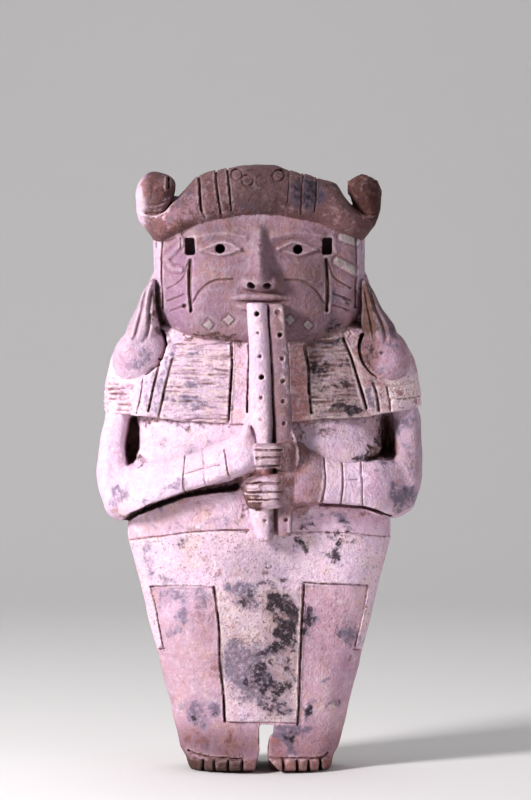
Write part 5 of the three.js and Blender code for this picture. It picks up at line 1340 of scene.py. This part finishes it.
# pale fill in the raised ornaments of the face
white = np.zeros(len(x))
for side in (-1, 1):
    for xx, zz in ((13.6, 203.6), (22.2, 201.4)):
        white = np.maximum(white, 0.62 * smoothstep(3.0, 2.0, np.abs(ux - side * xx) + np.abs(uz - zz)))
for bar in ([(38.0, 240.4), (43.4, 238.6)], [(35.8, 229.6), (43.6, 225.2)]):
    white = np.maximum(white, 0.72 * smoothstep(2.3, 1.4, line_distance(bar, ux.astype(F), uz.astype(F))))
white = white * head * facing
# brown dirt and painted brown shade: a band under the jaw; painted shadow under the hem, in the gaps beside the ear
# ornaments and drops, on the underside of the arm in the gap below it, beside the pockets, in the hollow of the palm,
# at the foot of the first flute and over the toes; and a few brown stains
dirt_and_shade = most(
    1.0 * streak([(186, 333.5), (204, 337.5), (220, 340.5), (244, 342)], 1.2, 0.9) * (capes | head), 0.8 * spot(232, 341.5, 9, 2.0) * (capes | head),
    0.55 * streak([(300, 340), (320, 337), (342, 330)], 1.2, 1.0) * (capes | head), 0.8 * spot(162, 333, 4, 6),
    0.75 * streak([(104, 412), (150, 418), (190, 421), (240, 423)], 1.1, 0.9) * (trunk | on[ARM_ID]), 0.55 * streak([(292, 423), (340, 419), (384, 416)], 1.8, 1.2) * (trunk | on[ARM_ID]),
    0.85 * spot(157, 303, 3, 20) * (np.abs(x) > 43), 0.9 * spot(367, 306, 4, 26) * (np.abs(x) > 42), 0.6 * spot(138, 459, 8, 5, 30), 0.7 * spot(380, 452, 9, 8, -40), 0.65 * spot(388, 424, 4, 12),
    0.85 * crevice * (nn[:, 2] < -0.3), 0.55 * spot(245, 512, 4, 10) * trunk, 0.9 * area((155.5, 284), (160, 284), (163, 322), (157, 322), soft=0.6) * (y > -25),
    0.9 * area((362.5, 284), (368, 284), (374, 330), (362, 330), soft=0.8) * (y > -25), 0.8 * area((365, 292), (371, 292), (378, 332), (366, 334), soft=1.5) * on[PENDANT_ID],
    0.45 * brink, 0.6 * area((376, 417), (386, 416), (386, 446), (384, 458), (364, 459), (366, 453), (374, 448), soft=1.6) * chest,
    0.55 * spot(297, 429, 6, 7) * (trunk | on[FLUTE_ID]), 0.25 * spot(301, 455, 4, 12) * palm, 0.50 * spot(326, 430, 12, 8) * chest,
    0.55 * streak([(187, 750.4), (200, 753.6), (214, 755.2), (242, 756.4)], 1.6, 1.4) * trunk, 0.42 * toe_shade * trunk * (1 - 0.8 * toe_rim_highlight),
    0.78 * streak([(112, 416), (137, 419), (181, 423.5), (228, 426.6)], 1.4, 2.6) * trunk, 0.55 * streak([(316, 420), (340, 420.6), (366, 418.6), (384, 415)], 0.8, 3.0) * trunk, 0.4 * spot(302, 430, 8, 6),
    0.35 * spot(200, 226, 40, 4) * turbans, 0.4 * spot(176, 232, 14, 6) * turbans, 0.5 * spot(270, 520, 5, 14) * on[FLUTE_ID], 0.6 * spot(264, 538, 8, 3), 0.5 * spot(262, 575, 4, 6),
    0.4 * spot(216, 574, 7, 5), 0.3 * spot(250, 278, 20, 5) * head, 0.4 * spot(258, 250, 4, 12) * head, 0.35 * spot(311, 585, 20, 2), 0.5 * spot(370, 362, 5, 12),
) * facing
speck = np.clip(0.10 + 0.44 * skirt + 0.12 * apron + 0.30 * capes + 0.40 * capes * right + 0.10 * chest + 0.4 * mid, 0, 1) * facing


# how dark the paint is overall, 1 as the colours are written; it also carries painted shade and painted highlight where
# noted below
tone_and_shade = np.ones(len(x))
# the face is lighter on the figure's right cheek and darker on the other: partly its own paint, partly painted light
# and shade for the sides turned to and from the light
tone_and_shade = np.where(head, 0.46 + 0.14 * pool(185, 285, 26, 50) - 0.14 * pool(325, 290, 40, 60) - 0.06 * pool(214, 320, 20, 20) - 0.05 * pool(230, 227, 46, 14)
                - 0.05 * pool(308, 270, 22, 16) + 0.30 * pool(345, 290, 10, 46) - 0.03 * pool(322, 300, 20, 40) + 0.26 * (np.abs(x) > 43), tone_and_shade)
tone_and_shade = np.where(turbans, 0.47 + 0.08 * pool(335, 222, 22, 14) + 0.10 * pool(162, 226, 20, 12) - 0.20 * pool(262, 195, 36, 34) - 0.05 * pool(312, 190, 20, 26) + 0.30 * smoothstep(152, 140, gu), tone_and_shade)
tone_and_shade = np.where(on[ROLL_ID], np.where(x < 0, 0.34 + 0.49 * smoothstep(150, 138, gu), 0.195 + 0.10 * spot(349, 186, 5, 9) + 0.08 * spot(378, 190, 4, 9)), tone_and_shade)
# painted highlight on the raised lips of the rolls
tone_and_shade = tone_and_shade + 0.45 * lip_highlight
# painted light and shade on the flutes: the first darker towards its right side and the second darker, with a painted
# highlight along its outer ridge
tone_and_shade = np.where(on[FLUTE_ID], 0.90 - 0.50 * smoothstep(265, 272, gu) + 0.12 * smoothstep(0, 6, gv - 505) * (gu > 271), tone_and_shade)
tone_and_shade = np.where(on[FLUTE_ID], tone_and_shade + 0.35 * streak([(284, 304), (284.6, 318), (286.2, 335), (289, 376), (291, 405), (292, 436)], 0.9, 0.5), tone_and_shade)
tone_and_shade = np.where(capes, 0.94 - 0.46 * area((303, 333), (345, 330), (368, 420), (311, 424), soft=2.0) + 0.37 * area((286, 335), (303, 335), (312, 425), (290, 425), soft=1.0)
                + 0.12 * area((385, 380), (425, 372), (425, 415), (388, 415), soft=1.5) - 0.22 * area((346, 334), (364, 334), (392, 384), (388, 418), (368, 418), soft=2.0)
                - 0.08 * area((178, 338), (232, 338), (232, 424), (158, 424), soft=2.0) + 0.10 * area((366, 384), (386, 384), (392, 412), (366, 412), soft=2.0), tone_and_shade)
# the fans above the drops and the inner half of the drop on the figure's left darker: partly their own colour, partly
# painted shade
tone_and_shade = np.where(on[PENDANT_ID], 0.80 - 0.12 * right - (0.20 + 0.16 * right) * smoothstep(338, 328, gv) - 0.34 * pool(366, 352, 11, 26), tone_and_shade)
# the hands, with a painted highlight along the rim of the upper fist
tone_and_shade = np.where(on[HAND_ID], 0.72 + 0.10 * (z < 131.5) * (x < 8.5) - 0.20 * (z > 136) - 0.10 * smoothstep(4, 12, x) + 0.16 * smoothstep(9, 13, x) * (z > 134)
                + 0.20 * streak([(293.7, 438), (296.5, 447), (297.0, 455), (295.8, 463), (292.6, 470.6)], 0.6, 0.5), tone_and_shade)
tone_and_shade = np.where(on[HAND_ID] & (x < -1.5) & (z > 133), 0.98, tone_and_shade)
tone_and_shade = np.where(on[ARM_ID], 0.94 - 0.02 * right - 0.31 * pool(404, 450, 22, 44) + 0.16 * pool(380, 478, 24, 18), tone_and_shade)
# painted shade: the brink under the forearm and the gap below the arm darkened
tone_and_shade = tone_and_shade * (1 - 0.62 * brink)
tone_and_shade = tone_and_shade * (1 - 0.60 * crevice * (gu < 262))
# the palm a little darker, with a painted highlight along its top edge
tone_and_shade = tone_and_shade * (1 - 0.32 * palm + 0.30 * streak([(301.5, 438), (310, 446.4), (321.6, 458)], 0.5, 0.5) * palm)
# on the trunk the feet, the band above the toes of the figure's right foot and the chest on the figure's left are
# darker: partly their own colour, partly painted shade
tone_and_shade = np.where(trunk, 0.95 + 0.10 * pool(345, 570, 40, 44) - 0.05 * belly * (1 - right) - 0.21 * chest * right - 0.26 * pool(262, 560, 40, 26) - 0.16 * pool(262, 640, 44, 70) - 0.26 * area((266, 590), (299, 590), (296, 722), (262, 722), soft=5) * apron + 0.10 * pool(180, 604, 30, 22) * legs + 0.08 * pool(350, 520, 44, 14) * belly - 0.14 * legs + 0.10 * legs * right
                - 0.22 * smoothstep(26, 10, z) - 0.20 * pool(222, 742, 44, 20), tone_and_shade)
# painted shade over the toes, painted highlight on their rims
tone_and_shade = tone_and_shade * (1 - 0.70 * toe_shade * (1 + 0.25 * mid)) * (1 + 0.6 * toe_rim_highlight) * (1 + 0.07 * big + 0.05 * mid)
# how patchy the slip is
patchy = np.full(len(x), 0.80)
patchy = np.where(on[ARM_ID] | on[FLUTE_ID], 0.55, patchy)
patchy = np.where(trunk, 0.80 - 0.38 * legs - 0.2 * belly, patchy)
patchy = np.where(head, 0.60, patchy)

# the back is plain: one tone to each part, with the clay's own clouding, darker towards the base
rear = smoothstep(0.05, 0.55, nn[:, 1])
back_tone = np.select([on[ROLL_ID], turbans, head, on[PENDANT_ID]], [tone_and_shade, np.full(len(x), 0.50), np.full(len(x), 0.50), np.full(len(x), 0.74)], 0.86)
back_tone = back_tone * (1 + 0.09 * big + 0.07 * mid) * (1 - 0.45 * smoothstep(7.6, 5.0, z))
tone_and_shade = tone_and_shade * (1 - rear) + back_tone * rear
back_slip = np.select([on[ROLL_ID], turbans, head], [slip, np.full(len(x), 0.08), np.full(len(x), 0.14)], 0.26) + 0.12 * big + 0.06 * mid
slip = slip * (1 - rear) + back_slip * rear
salmon = salmon * (1 - rear) + np.clip(0.30 + 0.30 * big + 0.30 * mid, 0, 1) * rear
cream = cream * (1 - rear) + np.clip(0.15 + 0.4 * mid, 0, 1) * rear
red = np.where(on[ROLL_ID], red, red * (1 - rear) + 0.20 * smoothstep(7.0, 4.6, z) * rear)
deep, line, furrow, pocket = deep * (1 - rear), line * (1 - rear), furrow * (1 - rear), pocket * (1 - rear)
patchy = patchy * (1 - rear) + 0.62 * rear

weave = np.clip(smoothstep(0.3, -0.6, np.minimum(np.minimum(sheet(left_panel), sheet(right_panel)), sheet(left_sleeve))), 0, 1) * capes * facing

for name, value in {
    "hollow": hollow, "ridge": ridge, "slip": slip, "cream": cream, "salmon": salmon, "stain": stain, "dark": dark, "red": red,
    "violet": violet, "wash": wash, "white": white, "dirt_and_shade": dirt_and_shade, "speck": speck, "facing": facing, "line": line, "deep": deep,
    "weave": weave, "tone_and_shade": tone_and_shade, "patchy": patchy, "furrow": furrow, "pocket": pocket,
}.items():
    a = skin.attributes.new(name, "FLOAT", "POINT")
    a.data.foreach_set("value", np.asarray(value, F))

# ------------------------------------------------------------------ the finished piece

shift = np.array((-(TABLE_LEFT + TABLE_RIGHT) / 2, -(TABLE_FRONT + TABLE_BACK) / 2, 0.0))
out = (co + shift) / 1000.0
skin.vertices.foreach_set("co", out.astype(F).ravel())
skin.polygons.foreach_set("use_smooth", np.ones(len(skin.polygons), bool))
skin.update()
figure = bpy.data.objects.new("clay_figure", skin)
bpy.context.scene.collection.objects.link(figure)
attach(figure, "root")
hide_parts(NODE)

mat = bpy.data.materials.new("fired_clay")
mat.use_nodes = True
nt = mat.node_tree
bsdf = nt.nodes["Principled BSDF"]
coords = nt.nodes.new("ShaderNodeTexCoord").outputs["Object"]


def plug(value, socket):
    if isinstance(value, bpy.types.NodeSocket):
        nt.links.new(value, socket)
    elif isinstance(value, tuple):
        socket.default_value = (*value, 1)
    else:
        socket.default_value = value


def srgb(r, g, b):
    return tuple((c / 255 / 12.92) if c / 255 <= 0.04045 else ((c / 255 + 0.055) / 1.055) ** 2.4 for c in (r, g, b))


def calc(op, a, b=0.0, c=None, clamp=False):
    n = nt.nodes.new("ShaderNodeMath")
    n.operation = op
    n.use_clamp = clamp
    plug(a, n.inputs[0])
    plug(b, n.inputs[1])
    if c is not None:
        plug(c, n.inputs[2])
    return n.outputs[0]


def ease_between(value, lo, hi, to_lo=0.0, to_hi=1.0):
    n = nt.nodes.new("ShaderNodeMapRange")
    n.interpolation_type = "SMOOTHSTEP"
    plug(value, n.inputs["Value"])
    n.inputs["From Min"].default_value = lo
    n.inputs["From Max"].default_value = hi
    n.inputs["To Min"].default_value = to_lo
    n.inputs["To Max"].default_value = to_hi
    return n.outputs["Result"]


def blend(a, b, share, kind="MIX"):
    n = nt.nodes.new("ShaderNodeMix")
    n.data_type = "RGBA"
    n.blend_type = kind
    plug(share, n.inputs["Factor"])
    plug(a, n.inputs[6])
    plug(b, n.inputs[7])
    return n.outputs[2]


def grain(size_mm, detail=3.0, rough=0.55, stretch=None, twist=0.0):
    """Cloudy noise of that size, spread over 0 to 1."""
    n = nt.nodes.new("ShaderNodeTexNoise")
    n.inputs["Scale"].default_value = 1000.0 / size_mm
    n.inputs["Detail"].default_value = detail
    n.inputs["Roughness"].default_value = rough
    n.inputs["Distortion"].default_value = twist
    v = coords
    if stretch:
        m = nt.nodes.new("ShaderNodeMapping")
        m.inputs["Scale"].default_value = stretch
        nt.links.new(coords, m.inputs["Vector"])
        v = m.outputs["Vector"]
    nt.links.new(v, n.inputs["Vector"])
    return ease_between(n.outputs["Fac"], 0.30, 0.70)


def held(name):
    n = nt.nodes.new("ShaderNodeAttribute")
    n.attribute_name = name
    return n.outputs["Fac"]


def broken(mask, cloud, amount, soft, edge=0.5):
    """A mask whose outline and inside are broken up by noise."""
    v = calc("MULTIPLY_ADD", calc("SUBTRACT", cloud, 0.5), calc("MULTIPLY", ease_between(mask, 0.0, 0.35), amount), mask)
    return ease_between(v, edge - soft, edge + soft)


def times(a, b):
    return calc("MULTIPLY", a, b)


n_wide, n_cloud, n_mid = grain(38, 3), grain(17, 4, 0.62, twist=0.4), grain(8.5, 4, 0.65, twist=0.5)
n_small, n_fine, n_tiny = grain(3.6, 4, 0.7), grain(1.9, 3, 0.65), grain(0.95, 2, 0.6)
n_other, n_third = grain(5.6, 5, 0.72, twist=0.8), grain(12.5, 4, 0.6, twist=0.3)
n_drag = grain(1.6, 3, 0.6, stretch=(0.16, 1.0, 1.0))
weave = held("weave")
fleck = blend(n_fine, n_small, 0.45)
rough_cloud = blend(n_other, n_small, 0.45)

# the fired clay
colour = blend(srgb(206, 160, 176), srgb(188, 142, 156), n_cloud)
colour = blend(colour, srgb(212, 160, 152), times(ease_between(n_mid, 0.45, 0.9), 0.55))
colour = blend(colour, srgb(170, 126, 140), times(ease_between(n_third, 0.55, 0.95), 0.45))
colour = blend(srgb(166, 124, 116), colour, ease_between(held("facing"), 0.0, 1.0, 0.35, 1.0))
# the dark wash of the turban, thin in places
dark_wash = blend(srgb(150, 106, 104), srgb(118, 80, 80), n_mid)
dark_wash = blend(dark_wash, srgb(170, 130, 134), times(ease_between(n_cloud, 0.5, 0.95), 0.6))
dark_wash = blend(dark_wash, srgb(136, 92, 80), times(ease_between(n_other, 0.55, 0.9), 0.5))
colour = blend(colour, dark_wash, times(broken(held("wash"), n_small, 0.9, 0.30), 0.92))
# slip
slip_colour = blend(srgb(236, 205, 229), srgb(231, 210, 204), held("cream"))
slip_colour = blend(slip_colour, srgb(226, 184, 196), times(held("salmon"), 0.80))
slip_colour = blend(slip_colour, srgb(216, 194, 222), times(ease_between(n_third, 0.5, 0.95), 0.45))
slip_colour = blend(slip_colour, srgb(232, 198, 190), times(ease_between(n_mid, 0.55, 0.95), 0.40))
slip_colour = blend(slip_colour, srgb(244, 230, 238), times(ease_between(n_other, 0.60, 0.95), 0.40))
worn = blend(blend(n_other, n_small, 0.5), n_drag, times(weave, 0.75))
slip_share = ease_between(calc("MULTIPLY_ADD", calc("SUBTRACT", worn, 0.5), held("patchy"), held("slip")), 0.12, 0.88)
colour = blend(colour, slip_colour, times(slip_share, 0.90))
# washes over it
colour = blend(colour, srgb(190, 142, 182), times(broken(held("violet"), n_mid, 0.8, 0.45), 0.62))
colour = blend(colour, blend(srgb(172, 106, 92), srgb(140, 84, 84), n_small), times(broken(held("red"), n_other, 0.9, 0.38), 0.80))
colour = blend(colour, srgb(232, 220, 216), times(broken(held("white"), n_small, 0.8, 0.25), 0.80))
# dirt in the furrows of the cape
colour = blend(colour, blend(srgb(136, 96, 102), srgb(92, 62, 60), n_small), times(broken(held("furrow"), rough_cloud, 1.0, 0.42, 0.58), 0.62))
# streaks dragged along the panels
colour = blend(colour, srgb(150, 112, 122), times(times(weave, ease_between(n_drag, 0.55, 0.85)), 0.55))
colour = blend(colour, srgb(244, 226, 214), times(times(weave, ease_between(n_drag, 0.42, 0.12)), 0.45))
# stains: a thin haze, with flecks where it is thick
stain = held("stain")
colour = blend(colour, srgb(126, 114, 142), times(broken(stain, rough_cloud, 0.9, 0.46, 0.43), 0.66))
colour = blend(colour, blend(srgb(84, 75, 94), srgb(118, 106, 124), n_tiny), times(broken(stain, fleck, 1.20, 0.34, 0.68), 0.50))
dark = held("dark")
colour = blend(colour, srgb(86, 70, 82), times(broken(dark, rough_cloud, 0.9, 0.46, 0.41), 0.72))
colour = blend(colour, blend(srgb(24, 18, 26), srgb(60, 46, 58), n_tiny), times(broken(dark, fleck, 1.50, 0.30, 0.57), 0.90))
# grit, pores and pale grains
grit = held("speck")
colour = blend(colour, srgb(150, 116, 124), times(ease_between(calc("MULTIPLY_ADD", grit, 0.28, n_fine), 0.90, 1.16), 0.48))
colour = blend(colour, srgb(112, 84, 88), times(ease_between(calc("MULTIPLY_ADD", grit, 0.19, n_tiny), 1.00, 1.14), 0.60))
colour = blend(colour, srgb(246, 234, 240), times(ease_between(n_fine, 0.20, 0.02), times(slip_share, 0.30)))
# the tone, with its painted shade and highlight, and a fine mottling scale the colour
mottle_and_shade = calc("ADD", calc("MULTIPLY", n_small, 0.07), calc("MULTIPLY", n_fine, 0.08))
mottle_and_shade = calc("MULTIPLY", held("tone_and_shade"), calc("SUBTRACT", 1.08, calc("MULTIPLY_ADD", n_wide, 0.05, mottle_and_shade)))
shade = nt.nodes.new("ShaderNodeVectorMath")
shade.operation = "SCALE"
nt.links.new(colour, shade.inputs[0])
nt.links.new(mottle_and_shade, shade.inputs["Scale"])
colour = shade.outputs["Vector"]
# raised edges are pale, worn slip and painted highlight; brown dirt and painted shade from the mask above; cut lines
# brown with dirt and shade; hollows painted brown shade; the deepest cuts and the gap under the arm painted near-black
# shadow, and the insides of the arm pockets dark brown painted shade
colour = blend(colour, srgb(236, 214, 214), times(ease_between(held("ridge"), 0.30, 0.95), calc("MULTIPLY_ADD", held("slip"), 0.35, 0.04)))
colour = blend(colour, blend(srgb(106, 73, 56), srgb(62, 40, 32), n_small), times(broken(held("dirt_and_shade"), fleck, 0.9, 0.34), 0.85))
colour = blend(colour, srgb(118, 82, 76), times(broken(held("line"), n_small, 0.6, 0.45), 0.50))
colour = blend(colour, srgb(108, 74, 66), times(ease_between(held("hollow"), 0.25, 0.9), 0.55))
colour = blend(colour, srgb(34, 22, 20), times(broken(held("deep"), n_small, 0.45, 0.30), 0.93))
colour = blend(colour, blend(srgb(112, 70, 54), srgb(70, 44, 38), n_mid), times(held("pocket"), 0.92))
plug(colour, bsdf.inputs["Base Color"])
plug(ease_between(n_small, 0.1, 0.9, 0.78, 0.96), bsdf.inputs["Roughness"])
bsdf.inputs["Specular IOR Level"].default_value = 0.25

relief = calc("ADD", times(n_small, 0.55), times(n_fine, 0.45))
relief = calc("ADD", relief, times(n_tiny, 0.20))
relief = calc("ADD", relief, times(slip_share, 0.30))
relief = calc("SUBTRACT", relief, times(times(weave, n_drag), 0.65))
relief = calc("SUBTRACT", relief, times(ease_between(calc("MULTIPLY_ADD", grit, 0.19, n_tiny), 1.00, 1.14), 0.5))
bump = nt.nodes.new("ShaderNodeBump")
bump.inputs["Strength"].default_value = 0.75
bump.inputs["Distance"].default_value = 0.0005
nt.links.new(relief, bump.inputs["Height"])
nt.links.new(bump.outputs["Normal"], bsdf.inputs["Normal"])
skin.materials.clear()
skin.materials.append(mat)

# ------------------------------------------------------------------ floor, light, camera

floor_mesh = bpy.data.meshes.new("floor")
verts, faces = [], []
profile = [(-1.6, 0.0), (0.9, 0.0)] + [
    (0.9 + 0.8 * math.sin(t), 0.8 - 0.8 * math.cos(t)) for t in [k * math.pi / 24 for k in range(1, 13)]
] + [(1.7, 3.0)]
for yy, zz in profile:
    verts += [(-3.0, yy, zz), (3.0, yy, zz)]
for k in range(len(profile) - 1):
    faces.append((2 * k, 2 * k + 1, 2 * k + 3, 2 * k + 2))
floor_mesh.from_pydata(verts, [], faces)
floor_mesh.polygons.foreach_set("use_smooth", np.ones(len(floor_mesh.polygons), bool))
floor = bpy.data.objects.new("floor", floor_mesh)
bpy.context.scene.collection.objects.link(floor)
paper = bpy.data.materials.new("pale_paper")
paper.use_nodes = True
paper.node_tree.nodes["Principled BSDF"].inputs["Base Color"].default_value = (0.80, 0.79, 0.78, 1)
paper.node_tree.nodes["Principled BSDF"].inputs["Roughness"].default_value = 0.9
floor_mesh.materials.append(paper)


def lamp(name, place, aim, size, watts, colour):
    data = bpy.data.lights.new(name, "AREA")
    data.shape = "RECTANGLE"
    data.size, data.size_y = size
    data.energy = watts
    data.color = colour
    o = bpy.data.objects.new(name, data)
    o.location = place
    o.rotation_euler = (Vector(aim) - Vector(place)).to_track_quat("-Z", "Y").to_euler()
    bpy.context.scene.collection.objects.link(o)
    return o


lamp("key", (-0.80, -0.64, 0.58), (0, 0, 0.14), (0.22, 0.28), 17.5, (1.0, 0.965, 0.985))
lamp("fill", (1.3, -1.1, 0.5), (0, 0, 0.14), (1.0, 1.0), 4.6, (0.96, 0.94, 1.0))
lamp("top", (0.0, 0.3, 1.5), (0, 0, 0.15), (1.2, 1.2), 7, (1.0, 1.0, 1.0))
world = bpy.data.worlds.new("studio")
world.use_nodes = True
world.node_tree.nodes["Background"].inputs["Color"].default_value = (0.75, 0.76, 0.80, 1)
world.node_tree.nodes["Background"].inputs["Strength"].default_value = 0.20
bpy.context.scene.world = world
bpy.context.scene.view_settings.view_transform = "Standard"

DISTANCE, CAM_TILT = 1.65, 1.5
cam_data = bpy.data.cameras.new("camera")
cam_data.sensor_width = 36
cam_data.sensor_fit = "AUTO"
cam_data.lens = 36 * (DISTANCE - 0.005) / 0.360
cam_data.clip_start = 0.05
cam = bpy.data.objects.new("camera", cam_data)
aim = Vector((0.0024, -0.0037, 0.1674))
e = math.radians(CAM_TILT)
cam.location = aim + DISTANCE * Vector((0, -math.cos(e), math.sin(e)))
cam.rotation_euler = (aim - cam.location).to_track_quat("-Z", "Y").to_euler()
bpy.context.scene.collection.objects.link(cam)
bpy.context.scene.camera = cam
